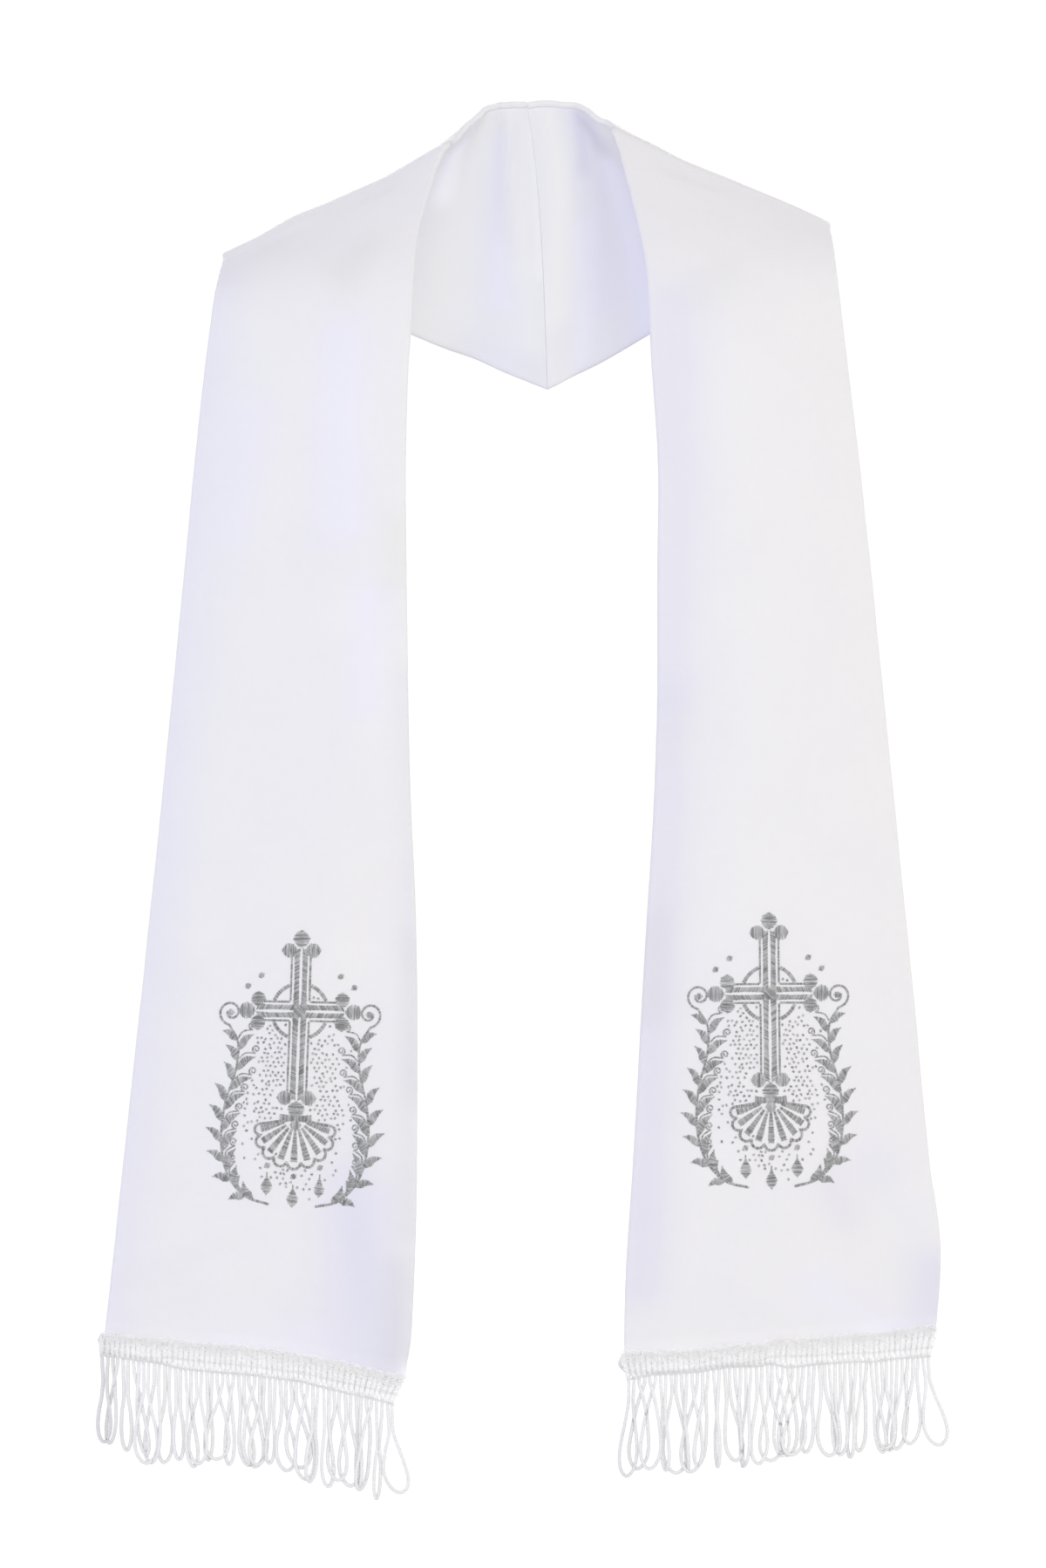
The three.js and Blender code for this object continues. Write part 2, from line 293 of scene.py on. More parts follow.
# Painted light and shade along lines of the flat cloth, where the white is painted bluer as under cool light,
# or greyer as in shade:
# fromAlong, fromAcross, toAlong, toAcross, halfWidth, cool (how far the painted cool light leans it to blue),
# shade (share of the light that the painted shade takes away)
facePaintedLight = {
    "left": [
        (118, 1.02, 556, 1.02, 14, 0.65, 0.045),  # outer edge
        (176, 0.31, 240, 0.28, 12, 0.85, 0),
        (140, 0.25, 150, 0.33, 8, -0.2, 0.045),
        (205, 0.72, 245, 0.78, 11, 0.6, 0.01),
        (515, 0.05, 545, 0.05, 7, 0.1, 0.075),
        (268, 0.17, 308, 0.17, 9, 0.75, 0),
        (300, 0, 450, 0, 6, 0.2, 0.045),  # neck edge
        (494, 0.2, 556, 0.17, 16, 1.2, 0.085),  # towards the hem
        (544, 0.35, 552, 0.6, 10, 0.45, -0.01),
        (240, 0.05, 262, 0.05, 6, -0.3, 0.03),
        (395, 0.03, 500, 0.03, 5, 0, 0.04),
        (137, 0.46, 125, 0.75, 13, 0, 0.02),
        (88, -0.05, 94, 1.05, 2.6, 0.4, 0.13),  # ridge of the shoulder
    ],
    "right": [
        (166, 0.1, 300, 0.05, 12, 1.0, 0.075),  # neck edge
        (314, 0.05, 522, 0.05, 10, 1.0, 0.09),
        (395, 0.03, 425, 0.03, 8, 0, 0.045),
        (492, 0.66, 502, 0.7, 9, 0.5, 0.05),
        (530, 0.62, 548, 0.82, 10, 0.65, 0),
        (526, 0.98, 554, 0.98, 9, 1.0, 0.09),  # towards the hem
        (482, 0.8, 484, 0.82, 11, 0.4, 0.03),
        (158, 0.27, 153, 0.39, 8, 0, 0.03),
        (86, -0.05, 90, 1.05, 2.6, 0, 0.13),  # ridge of the shoulder
    ],
}
liningPaintedLight = {
    "left": [
        (37, -0.1, 31, 1.1, 8, -0.35, -0.02),
        (46, 0.2, 41, 0.4, 5, 0.1, -0.12),
        (21, 0.15, 14, 0.75, 4.5, 0.8, -0.01),
        (9, 0.1, 7, 0.6, 5, -0.2, -0.03),
        (1, 0.1, 1, 0.6, 2.5, 0, -0.04),
        (20, 0.98, 4, 0.95, 8, 0.2, 0.04),
    ],
    "right": [
        (14, 0.05, 4, 0.75, 6, -0.5, -0.05),
        (46, -0.1, 31, 1.1, 11, 1.0, 0.06),
        (40, 0.3, 32, 0.95, 6, 0.4, -0.085),
        (30, 0.1, 20, 0.8, 6, 0.6, 0.025),
        (33, 0.05, 24, 0.28, 3.8, 0.5, 0.09),
        (17, 0.5, 10, 0.95, 5, 0.6, -0.03),
        (38, 0.1, 40, 0.2, 5, 0.2, 0.07),
    ],
}
paintedEdgeShade = {"reach": 0.9, "share": 0.14}  # painted shade on the very edge of the lining, away from the neck


def clamped(t):
    return np.clip(t, 0, 1)


def smooth(t):
    x = clamped(t)
    return x * x * (3 - 2 * x)


def bell(distance, reach):
    return np.exp(-((distance / reach) ** 2))


def unit(vectors):
    return vectors / np.linalg.norm(vectors, axis=-1, keepdims=True)


def makeHalf(label, side, sections, folds, creases, hemArch, corner, seed):
    rows = np.array(sections, float)
    middle = (rows[:, 0:3] + rows[:, 3:6]) / 2
    stations = np.concatenate([[0], np.cumsum(np.linalg.norm(np.diff(middle, axis=0), axis=1))])
    chance = np.random.default_rng(seed)
    waves = []
    for _ in range(unevenness["waves"]):
        length = chance.uniform(unevenness["shortest"], unevenness["longest"])
        turn = chance.uniform(0, math.pi)
        waves.append((length, math.cos(turn), math.sin(turn), chance.uniform(0, 2 * math.pi)))
    return {
        "label": label,
        "side": side,
        "rows": rows,
        "stations": stations,
        "length": stations[-1],
        "hemWidth": float(np.linalg.norm(rows[-1, 3:6] - rows[-1, 0:3])),
        "hemArch": hemArch,  # how far the middle of the hem lies above the line between its corners
        "corner": corner,  # how far the corner at the neck end of the hem is drawn up and inwards
        "folds": folds + creases,
        "waves": waves,
        "seed": seed,
    }


def sectionAt(half, along):
    rows, stations = half["rows"], half["stations"]
    last = len(rows) - 1
    before = np.maximum(np.arange(last + 1) - 1, 0)
    after = np.minimum(np.arange(last + 1) + 1, last)
    slopes = (rows[after] - rows[before]) / (stations[after] - stations[before])[:, None]
    i = np.clip(np.searchsorted(stations, along, side="right") - 1, 0, last - 1)
    span = (stations[i + 1] - stations[i])[..., None]
    t = np.minimum((along - stations[i])[..., None] / span, 1)
    start = (2 * t**3 - 3 * t**2 + 1) * rows[i] + (t**3 - 2 * t**2 + t) * span * slopes[i]
    end = (3 * t**2 - 2 * t**3) * rows[i + 1] + (t**3 - t**2) * span * slopes[i + 1]
    return start + end


def crossLine(half, along):
    row = sectionAt(half, along)
    below = np.zeros(row.shape[:-1] + (3,))
    below[..., 2] = np.maximum(along - half["length"], 0)  # past the hem it goes straight down
    return row[..., 0:3] - below, row[..., 3:6] - below, row[..., 6]


def blended(atSeam, away, along):
    share = smooth(along / blendAlong)[..., None]
    return unit(atSeam * (1 - share) + away * share)


def outward(half, along):
    reach = 2
    inner, outer, _ = crossLine(half, along)
    before = crossLine(half, np.maximum(along - reach, 0))
    after = crossLine(half, along + reach)
    run = after[0] + after[1] - before[0] - before[1]
    away = unit(np.cross(run, outer - inner) * half["side"])
    seam = unit(outer - inner)
    return blended(unit(np.array([0, 1, 0]) - seam * seam[..., 1:2]), away, along)


def widthAt(half, along):
    inner, outer, _ = crossLine(half, along)
    return np.linalg.norm(outer - inner, axis=-1)


def awayFrom(along, across, width, line):
    # distance of a place from a line on the cloth, and how far along the line it lies
    fromAlong, fromAcross, toAlong, toAcross = line
    runX = toAlong - fromAlong
    runY = (toAcross - fromAcross) * width
    fromX = along - fromAlong
    fromY = (across - fromAcross) * width
    share = (fromX * runX + fromY * runY) / (runX**2 + runY**2)
    return np.hypot(fromX - clamped(share) * runX, fromY - clamped(share) * runY), share


def foldLift(half, along, across, width):
    lift = np.zeros(np.broadcast(along, across).shape)
    for *line, halfWidth, depth in half["folds"]:
        away, share = awayFrom(along, across, width, line)
        fade = smooth(share * foldFade + 1) * smooth((1 - share) * foldFade + 1)
        lift = lift + depth * fade * bell(away, halfWidth)
    return lift * smooth(along / cornerAlong)


def paintedLightAt(paintedLights, along, across, width):
    # how far the painted cool light leans the white to blue, and the share of the light that the painted
    # shade takes away, at places on the cloth
    paintedCool, paintedShade = 0, 0
    for fromAlong, fromAcross, toAlong, toAcross, halfWidth, paintedCoolShare, paintedShadeShare in paintedLights:
        away = awayFrom(along, across, width, (fromAlong, fromAcross, toAlong, toAcross))[0]
        near = bell(away, halfWidth)
        paintedCool, paintedShade = paintedCool + paintedCoolShare * near, paintedShade + paintedShadeShare * near
    return paintedCool, paintedShade


def slightLift(half, along, across, width):
    sideways = across * width
    lift = 0
    for length, alongShare, acrossShare, phase in half["waves"]:
        lift = lift + np.sin(2 * math.pi * (along * alongShare + sideways * acrossShare) / length + phase)
    lift = lift * unevenness["height"]
    spacing = unevenness["puckerSpacing"]
    for edge, phase in ((sideways, 1.0), (width - sideways, 2.6)):
        near = bell(np.maximum(edge, 0), unevenness["puckerReach"])
        wander = unevenness["puckerWander"] * np.sin(along / unevenness["wanderReach"] + phase * half["seed"])
        ripple = np.sin(2 * math.pi * along / spacing + phase + wander)
        lift = lift + unevenness["puckerHeight"] * near * ripple
    return lift * smooth(along / cornerAlong)


def clothPoint(half, along, across):
    along, across = np.broadcast_arrays(np.asarray(along, float), np.asarray(across, float))
    inner, outer, bow = crossLine(half, along)
    width = np.linalg.norm(outer - inner, axis=-1)
    lift = bow * 4 * across * (1 - across)
    lift = lift + foldLift(half, along, across, width) + slightLift(half, along, across, width)
    point = inner + (outer - inner) * across[..., None] + outward(half, along) * lift[..., None]
    sway = napeSway * np.sin(math.pi * clamped(across) ** napeLean) * (1 - smooth(along / swayLength))
    point[..., 0] += sway
    arch = np.sin(math.pi * clamped(across) ** hemLean) ** 2
    point[..., 2] += half["hemArch"] * arch * smooth(1 - (half["length"] - along) / hemReach)
    return point


def clothNormal(half, along, across):
    step, sideways = 0.8, 0.008  # in millimetres and as a share of the width
    along, across = np.broadcast_arrays(np.asarray(along, float), np.asarray(across, float))
    run = clothPoint(half, along + step, across) - clothPoint(half, np.maximum(along - step, 0), across)
    cross = clothPoint(half, along, across + sideways) - clothPoint(half, along, across - sideways)
    return blended(outward(half, along * 0), unit(np.cross(run, cross) * half["side"]), along)


def onCloth(half, along, across, height):
    height = np.asarray(height, float)
    return clothPoint(half, along, across) + clothNormal(half, along, across) * height[..., None]


halves = [
    makeHalf("left", -1, leftSections, leftFolds, leftCreases, hemArch=2.9, corner=(4.2, 1.3), seed=3),
    makeHalf("right", 1, rightSections, rightFolds, rightCreases, hemArch=0, corner=(0, 0), seed=8),
]


# The cloth sheets
sewing = {
    "rowStep": 2.6,
    "columnStep": 3.0,
    "seamRows": [0, 0.08, 0.25, 0.5, 0.9, 1.6, 2.6, 4],  # the finer rows, by distance from the nape seam
    "hemRows": [2.6, 1.7, 1.15, 0.85, 0.57, 0.33, 0.15, 0.04, 0],  # and from the hem
    "fabric": 0.35,  # thickness of one sheet
    "lip": 2.3,  # how far the satin turns over onto the lining side at the neck edge
    "liningHeight": 1.04,
    "margin": 6,  # the finer columns along each edge reach this far in
    "pattern": 100.0,  # the width at which a profile is laid out; its middle stretches with the cloth
    "hemRoll": 1.15,  # length over which both layers close at the hem
    "hemShare": 0.2,  # share of their height that they keep there
    "paintedCoolBlue": 0.085,  # how much bluer the painted cool light makes the coolest places
    "paintedLightUnderHeading": 0.08,  # painted light: how much lighter the cloth is painted where the white heading lies on it, against the shade between the cords
    "paintedLightAboveHeading": 0.045,  # and painted light just above, as if the heading threw light on it
    "aboveReach": 5,
}
faceEdge = {
    "neck": [(sewing["lip"], -0.95), (sewing["lip"] - 0.3, -faceTop + 0.02)],
    "outer": [(0.5, -0.45)],
    "neckTurn": -90,  # the angle down to which the satin rolls round each edge
    "outerTurn": -30,
    "inner": [(inset, faceTop) for inset in (1.6, 2.2, 3.1, 4.3, 6)],
    "seamRoll": 0.9,  # length over which the layer dives into the nape seam
    "seamShare": 0.45,  # share of its height that it keeps there
}
liningEdge = {
    "neck": [(1.5, -0.5), (1.9, -0.68), (2.3, -0.86), (2.8, -0.98), (3.5, -1.04), (4.5, -1.04), (6, -1.04)],
    "outer": [
        (0.55, -0.4), (0.24, -0.66), (0.34, -0.84), (0.6, -0.97), (1.1, -1.03), (2.2, -1.04), (6, -1.04),
    ],
    "seamRoll": 0.5,
    "seamShare": 0.82,
}


def rolled(lowest):
    # the satin's turn round an edge, from its inside to its outside
    turns = np.radians(np.linspace(lowest, 90, 9))
    return [(faceTop * (1 - math.cos(t)), faceTop * math.sin(t)) for t in turns]


def profileAcross(width, neck, outer, height):
    # places across a sheet as (distance from the neck edge, height over the middle of the cloth)
    margin = sewing["margin"]
    steps = round((width - 2 * margin) / sewing["columnStep"])
    middle = [(d, height) for d in np.linspace(margin, width - margin, steps + 1)[1:-1]]
    return np.array(neck + middle + [(width - d, h) for d, h in reversed(outer)])


def faceProfile(width):
    edge = faceEdge
    neck = edge["neck"] + rolled(edge["neckTurn"]) + edge["inner"]
    outer = edge["outer"] + rolled(edge["outerTurn"]) + edge["inner"]
    return profileAcross(width, neck, outer, faceTop)


def liningProfile(width):
    return profileAcross(width, liningEdge["neck"], liningEdge["outer"], -sewing["liningHeight"])


def rowPlaces(half):
    start = sewing["seamRows"]
    end = [half["length"] - s for s in sewing["hemRows"]]
    steps = round((end[0] - start[-1]) / sewing["rowStep"])
    return np.array(start + list(np.linspace(start[-1], end[0], steps + 1)[1:-1]) + end)


def turned(distance, roll, least):
    # share of its full height that a layer has at a distance from the seam it turns into
    share = 1 - clamped(distance / roll)
    return least + (1 - least) * np.sqrt(np.maximum(1 - share**2, 0))


def clothSheet(half, name, profileOf, edge, paintedLights, facing, material):
    alongs = rowPlaces(half)
    pattern = sewing["pattern"]
    distance, height = profileOf(pattern).T
    width = widthAt(half, alongs)[:, None]
    fromOuter = distance > pattern / 2
    near = np.where(fromOuter, pattern - distance, distance)
    margin = sewing["margin"]
    stretch = margin + (near - margin) * (width / 2 - margin) / (pattern / 2 - margin)
    inset = np.where(near <= margin, near, stretch)
    sideways = np.where(fromOuter, width - inset, inset)
    across = sideways / width
    along = np.broadcast_to(alongs[:, None], across.shape)
    drawnUp = bell(sideways, cornerReach[1]) * smooth(1 - (half["length"] - along) / cornerReach[0])
    rise = turned(along, edge["seamRoll"], edge["seamShare"])
    rise = rise * turned(half["length"] - along, sewing["hemRoll"], sewing["hemShare"])
    up, inwards = half["corner"]
    points = onCloth(half, along - up * drawnUp, across + inwards * drawnUp / width, height * rise) * mm
    thing = gridMesh(name, points, half["side"] * facing)
    layout = thing.data.uv_layers.new(name="weave")
    flatPlaces = np.stack([(sideways - width / 2) * mm, along * mm], axis=-1).reshape(-1, 2)
    corners = np.zeros(len(thing.data.loops), int)
    thing.data.loops.foreach_get("vertex_index", corners)
    layout.data.foreach_set("uv", flatPlaces[corners].ravel())
    # painted light and shade: bluer where cool light is painted, greyer where shade is painted, lighter under
    # and just above the heading, darker along the lining's edge
    paintedCool, paintedShade = paintedLightAt(paintedLights, along, across, width)
    toHeading = half["length"] - headingLap - along
    paintedShade = paintedShade - sewing["paintedLightUnderHeading"] * smooth(-toHeading)
    paintedShade = paintedShade - sewing["paintedLightAboveHeading"] * smooth(1 - toHeading / sewing["aboveReach"])
    if facing < 0:
        paintedShade = paintedShade + paintedEdgeShade["share"] * bell(width - sideways, paintedEdgeShade["reach"])
    blue = 1 + sewing["paintedCoolBlue"] * paintedCool
    paintedTone = np.stack([1 - paintedShade, 1 - paintedShade, (1 - paintedShade) * blue, np.ones_like(blue)], axis=-1)
    paintedTones = thing.data.color_attributes.new("paintedTone", "FLOAT_COLOR", "POINT")
    paintedTones.data.foreach_set("color", paintedTone.astype(np.float32).ravel())
    thing.data.materials.append(material)
    wall = thing.modifiers.new("fabric", "SOLIDIFY")
    wall.thickness = sewing["fabric"] * mm
    wall.offset = -1
    wall.use_even_offset = False
    return thing


def gridMesh(name, points, side):
    rows, columns = points.shape[:2]
    i, j = np.meshgrid(np.arange(rows - 1), np.arange(columns - 1), indexing="ij")
    first = (i * columns + j).ravel()
    quads = np.stack([first, first + columns, first + columns + 1, first + 1], axis=-1)
    if side < 0:
        quads = quads[:, ::-1]
    mesh = bpy.data.meshes.new(name)
    mesh.from_pydata(points.reshape(-1, 3).tolist(), [], quads.tolist())
    mesh.polygons.foreach_set("use_smooth", [True] * len(mesh.polygons))
    mesh.update()
    return placed(bpy.data.objects.new(name, mesh))


# Shader nodes for the finishes
def attribute(tree, name, output="Fac"):
    return addNode(tree, "ShaderNodeAttribute", attribute_name=name).outputs[output]


def noise(tree, place, size, detail, roughness=0.5):
    # cells of a size in millimetres
    feeds = {"Vector": place, "Scale": 1 / (size * mm), "Detail": detail, "Roughness": roughness}
    return addNode(tree, "ShaderNodeTexNoise", feeds).outputs["Fac"]


def mapped(tree, value, low, high, start=0, end=1):
    # what goes from start to end comes out from low to high
    feeds = {"Value": value, "From Min": start, "From Max": end, "To Min": low, "To Max": high}
    return addNode(tree, "ShaderNodeMapRange", feeds).outputs["Result"]


def ramp(tree, value, stops, *colours):
    node = addNode(tree, "ShaderNodeValToRGB", {"Fac": value})
    elements = node.color_ramp.elements
    for _ in stops[2:]:
        elements.new(0.5)
    for element, position, colour in zip(elements, stops, colours):
        element.position = position
        element.color = (*colour, 1)
    return node.outputs["Color"]


def multiplied(tree, first, second):
    feeds = {0: 1, 6: first, 7: second}
    return addNode(tree, "ShaderNodeMix", feeds, data_type="RGBA", blend_type="MULTIPLY").outputs[2]


def bump(tree, height, depth, feeds=(), **settings):
    feeds = {"Height": height, "Distance": depth * mm, **dict(feeds)}
    return addNode(tree, "ShaderNodeBump", feeds, **settings).outputs["Normal"]


def scaled(tree, vector, size, turn=0):
    # the vector in cells of the given sizes, in millimetres
    feeds = {"Vector": vector, "Scale": [1 / (s * mm) for s in size], "Rotation": (0, 0, math.radians(turn))}
    return addNode(tree, "ShaderNodeMapping", feeds).outputs["Vector"]


def soft(depth):
    # light wanders this deep into a white yarn
    return {"Subsurface Weight": 1, "Subsurface Radius": (1, 1, 1), "Subsurface Scale": depth * mm}


satinLook = {
    "colour": (0.880, 0.869, 0.873),
    "shadeColour": (0.863, 0.853, 0.867),
    "floatLength": 0.8,
    "floatWidth": 0.13,
    "floatGap": 0.16,  # share of a float's width
    "floatShift": 0.4,  # of one row of floats against the next
    "cloud": 30,
    "mottle": 3.2,
    "mottleShare": 0.45,
    "stops": (0.35, 0.62),  # of the mottle, for the shade colour and the colour
    "roughness": (0.40, 0.52),
    "weaveDepth": 0.014,
    "slubDepth": 0.04,
    "specular": 0.35,
    "sheen": 0.08,
    "sheenRoughness": 0.4,
}
liningLook = {
    **satinLook,
    "colour": (0.880, 0.877, 0.904),
    "shadeColour": (0.870, 0.868, 0.899),
    "weaveDepth": 0.011,
}


def satinMaterial(name, look):
    material, tree = newMaterial(name)
    layout = addNode(tree, "ShaderNodeUVMap", uv_map="weave").outputs["UV"]
    cloud, mottle = noise(tree, layout, look["cloud"], 3), noise(tree, layout, look["mottle"], 4, 0.6)
    rest = mathNode(tree, "MULTIPLY", cloud, 1 - look["mottleShare"])
    both = mathNode(tree, "MULTIPLY_ADD", mottle, look["mottleShare"], rest)
    tint = ramp(tree, both, look["stops"], look["shadeColour"], look["colour"])
    floats = addNode(tree, "ShaderNodeTexBrick", {
        "Vector": scaled(tree, layout, (look["floatWidth"], look["floatLength"], 1), 90),
        "Scale": 1,
        "Brick Width": 1,
        "Row Height": 1,
        "Mortar Size": look["floatGap"],
        "Mortar Smooth": 1,
    }, offset=look["floatShift"])
    weave = bump(tree, floats.outputs["Fac"], look["weaveDepth"], invert=True)
    return shaded(material, {
        # the colour is multiplied by the painted light and shade of the cloth
        "Base Color": multiplied(tree, tint, attribute(tree, "paintedTone", "Color")),
        "Normal": bump(tree, mottle, look["slubDepth"], {"Normal": weave}),
        "Roughness": mapped(tree, mottle, *look["roughness"]),
        "Specular IOR Level": look["specular"],
        "Sheen Weight": look["sheen"],
        "Sheen Roughness": look["sheenRoughness"],
    })


satin = satinMaterial("satin", satinLook)
lining = satinMaterial("lining", liningLook)
sheets = {}
for half in halves:
    label = half["label"]
    paintedLights = facePaintedLight[label], liningPaintedLight[label]
    face = clothSheet(half, label + "_satin", faceProfile, faceEdge, paintedLights[0], 1, satin)
    back = clothSheet(half, label + "_lining_sheet", liningProfile, liningEdge, paintedLights[1], -1, lining)
    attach(face, "root")
    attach(back, "root")
    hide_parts(label + "_face")
    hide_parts(label + "_lining")
    sheets[label] = (face, back)
    print(label, "cloth sewn")


cordLook = {
    "colour": (0.97, 0.965, 0.96),
    "flankShadeColour": (0.945, 0.935, 0.93),
    "edgeShadeColour": (0.86, 0.85, 0.845),
    "stops": (0, 0.35, 1),  # of the three colours, from the middle of the cord to its flank, greyed by painted shade
    "darkestPaintedShade": 0.85,  # share of its colour that the cord keeps where its painted shade is darkest
    "hollow": 0.95,  # share of the light that the hollows between the ribs keep
    "roughness": 0.6,
    "specular": 0.2,
    "ribPitch": 0.8,
    "ribDepth": 0.05,
    "depth": 0.3,
    "paintedGlow": 0.095,  # painted light: how much the cords laid side by side in the heading glow
}
yarnLook = {
    "colour": (0.985, 0.98, 0.975),
    "darkColour": (0.87, 0.865, 0.86),
    "stops": (0.33, 0.6),
    "mottle": 0.9,
    "napDepth": 0.08,
    "roughness": 0.65,
    "sheen": 0.6,
    "depth": 0.3,
    "paintedGlow": (0.08, 0.032),  # painted light: how much the fluff and the rows glow, standing in for light passed on many times between fine fibres
    "darkestPaintedShade": 0.88,  # share of its colour that the thread of the stitched rows keeps under its painted shade
}
silverLook = {
    "bright": (0.81, 0.815, 0.815),
    "middle": (0.56, 0.563, 0.56),
    "dark": (0.32, 0.32, 0.315),
    "stops": (0.22, 0.45, 0.85),
    "glint": (0.55, -0.12),  # a stitch's own glint adds this share of itself and this much
    "metallic": 0.6,
    "roughness": 0.36,
    "speck": 0.45,
    "speckShare": 0.7,
    "twistPitch": 0.32,
    "twistDepth": 0.05,
}


def cordMaterial(name, look):
    # whitest along the middle; painted shade greys its flanks, its loops' feet and one end; a painted glow
    # lights it in the heading
    material, tree = newMaterial(name)
    turns = mathNode(tree, "MULTIPLY", attribute(tree, "cordLength"), 2 * math.pi / (look["ribPitch"] * mm))
    wave = mathNode(tree, "SINE", turns)
    colours = look["colour"], look["flankShadeColour"], look["edgeShadeColour"]
    tint = ramp(tree, attribute(tree, "aside"), look["stops"], *colours)
    ribbed = multiplied(tree, tint, mapped(tree, wave, look["hollow"], 1, -1))
    return shaded(material, {
        "Base Color": multiplied(tree, ribbed, mapped(tree, attribute(tree, "paintedShadeLevel"), 1, look["darkestPaintedShade"])),
        "Normal": bump(tree, wave, look["ribDepth"]),
        # painted glow where the cord is pressed flat in the heading
        "Emission Strength": mapped(tree, attribute(tree, "thick"), 0, look["paintedGlow"], 1, fringe["spread"]),
        "Emission Color": (*look["colour"], 1),
        "Roughness": look["roughness"],
        "Specular IOR Level": look["specular"],
        **soft(look["depth"]),
    })


def yarnMaterial(name, look):
    material, tree = newMaterial(name)
    nap = noise(tree, addNode(tree, "ShaderNodeTexCoord").outputs["Object"], look["mottle"], 3, 0.6)
    tint = ramp(tree, nap, look["stops"], look["darkColour"], look["colour"])
    # painted shade on the stitched rows; all of the yarn has a painted glow, less on the rows
    paintedShadeLevel = attribute(tree, "paintedShadeLevel")
    return shaded(material, {
        "Base Color": multiplied(tree, tint, mapped(tree, paintedShadeLevel, 1, look["darkestPaintedShade"])),
        "Normal": bump(tree, nap, look["napDepth"]),
        "Emission Strength": mapped(tree, paintedShadeLevel, *look["paintedGlow"]),
        "Emission Color": (*look["colour"], 1),
        "Roughness": look["roughness"],
        "Sheen Weight": look["sheen"],
        **soft(look["depth"]),
    })


def silverMaterial(name, look):
    # each stitch has its own glint, from dark through grey to bright
    material, tree = newMaterial(name)
    place = addNode(tree, "ShaderNodeTexCoord").outputs["Object"]
    glint = mathNode(tree, "MULTIPLY_ADD", attribute(tree, "glint"), *look["glint"])
    specks = noise(tree, place, look["speck"], 2, 0.6)
    mixed = mathNode(tree, "MULTIPLY_ADD", specks, look["speckShare"], glint)
    return shaded(material, {
        "Base Color": ramp(tree, mixed, look["stops"], look["dark"], look["middle"], look["bright"]),
        "Normal": bump(tree, noise(tree, place, look["twistPitch"], 1), look["twistDepth"]),
        "Metallic": look["metallic"],
        "Roughness": look["roughness"],
    })


# Geometry nodes, and how a piece grows on its paths
def newTree(name, inputs):
    # the tree, its named inputs and the socket that its outcome goes to
    tree = bpy.data.node_groups.new(name, "GeometryNodeTree")
    tree.is_modifier = True
    tree.interface.new_socket("Geometry", in_out="INPUT", socket_type="NodeSocketGeometry")
    for label, kind, value in [*inputs, ("Material", "Material", None)]:
        socket = tree.interface.new_socket(label, in_out="INPUT", socket_type="NodeSocket" + kind)
        if value is not None:
            socket.default_value = value
    tree.interface.new_socket("Geometry", in_out="OUTPUT", socket_type="NodeSocketGeometry")
    given = {socket.name: socket for socket in tree.nodes.new("NodeGroupInput").outputs}
    return tree, given, tree.nodes.new("NodeGroupOutput").inputs[0]


def growPiece(name, paths, tree, values, material):
    # lays the paths as a mesh of edges, lets the tree grow on them, and keeps the outcome as a plain mesh
    source = bpy.data.meshes.new(name)
    points = np.concatenate([path["points"] for path in paths])
    edges, first = [], 0
    for path in paths:
        count = len(path["points"])
        edges += [(first + k, first + k + 1) for k in range(count - 1)]
        first += count
    source.from_pydata((points * mm).tolist(), edges, [])
    for label in paths[0]:
        if label == "points":
            continue
        column = np.concatenate([path[label] for path in paths]).astype(np.float32)
        kind, field = ("FLOAT", "value") if column.ndim == 1 else ("FLOAT_VECTOR", "vector")
        source.attributes.new(label, kind, "POINT").data.foreach_set(field, column.ravel())
    thing = placed(bpy.data.objects.new(name, source))
    grower = thing.modifiers.new("grower", "NODES")
    grower.node_group = tree
    given = dict(values, Material=material)
    for item in tree.interface.items_tree:
        if item.in_out == "INPUT" and item.name in given:
            grower[item.identifier] = given[item.name]
    depsgraph = bpy.context.evaluated_depsgraph_get()
    plain = bpy.data.meshes.new_from_object(
        thing.evaluated_get(depsgraph), preserve_all_data_layers=True, depsgraph=depsgraph
    )
    thing.modifiers.clear()
    thing.data = plain
    plain.name = name
    dressed(plain, material)
    return thing


def dressed(mesh, material):
    # one material on the whole of a grown mesh
    mesh.materials.clear()
    mesh.materials.append(material)
    mesh.polygons.foreach_set("material_index", [0] * len(mesh.polygons))
    mesh.polygons.foreach_set("use_smooth", [True] * len(mesh.polygons))


def joined(name, pieces, material):
    # one mesh out of several plain ones
    shape = bmesh.new()
    for piece in pieces:
        shape.from_mesh(piece.data)
        old = piece.data
        bpy.data.objects.remove(piece)
        bpy.data.meshes.remove(old)
    whole = linked(name, shape)
    dressed(whole.data, material)
    return whole


def pathCurve(tree, given, step):
    line = outputOf(tree, "GeometryNodeMeshToCurve", {"Mesh": given["Geometry"]})
    return outputOf(tree, "GeometryNodeResampleCurve", {"Curve": line, "Length": step}, mode="LENGTH")


def kept(tree, geometry, name, value, domain="POINT"):
    feeds = {"Geometry": geometry, "Name": name, "Value": value}
    return outputOf(tree, "GeometryNodeStoreNamedAttribute", feeds, data_type="FLOAT", domain=domain)


def named(tree, name, kind="FLOAT"):
    node = addNode(tree, "GeometryNodeInputNamedAttribute", {"Name": name}, data_type=kind)
    return node.outputs["Attribute"]


def ring(tree, sides, radius=1.0):
    return outputOf(tree, "GeometryNodeCurvePrimitiveCircle", {"Resolution": sides, "Radius": radius})


def threadOn(tree, curve, radius, sides, caps=False):
    feeds = {"Curve": curve, "Profile Curve": ring(tree, sides, radius), "Fill Caps": caps}
    tube = outputOf(tree, "GeometryNodeCurveToMesh", feeds)
    return outputOf(tree, "GeometryNodeSetShadeSmooth", {"Geometry": tube})


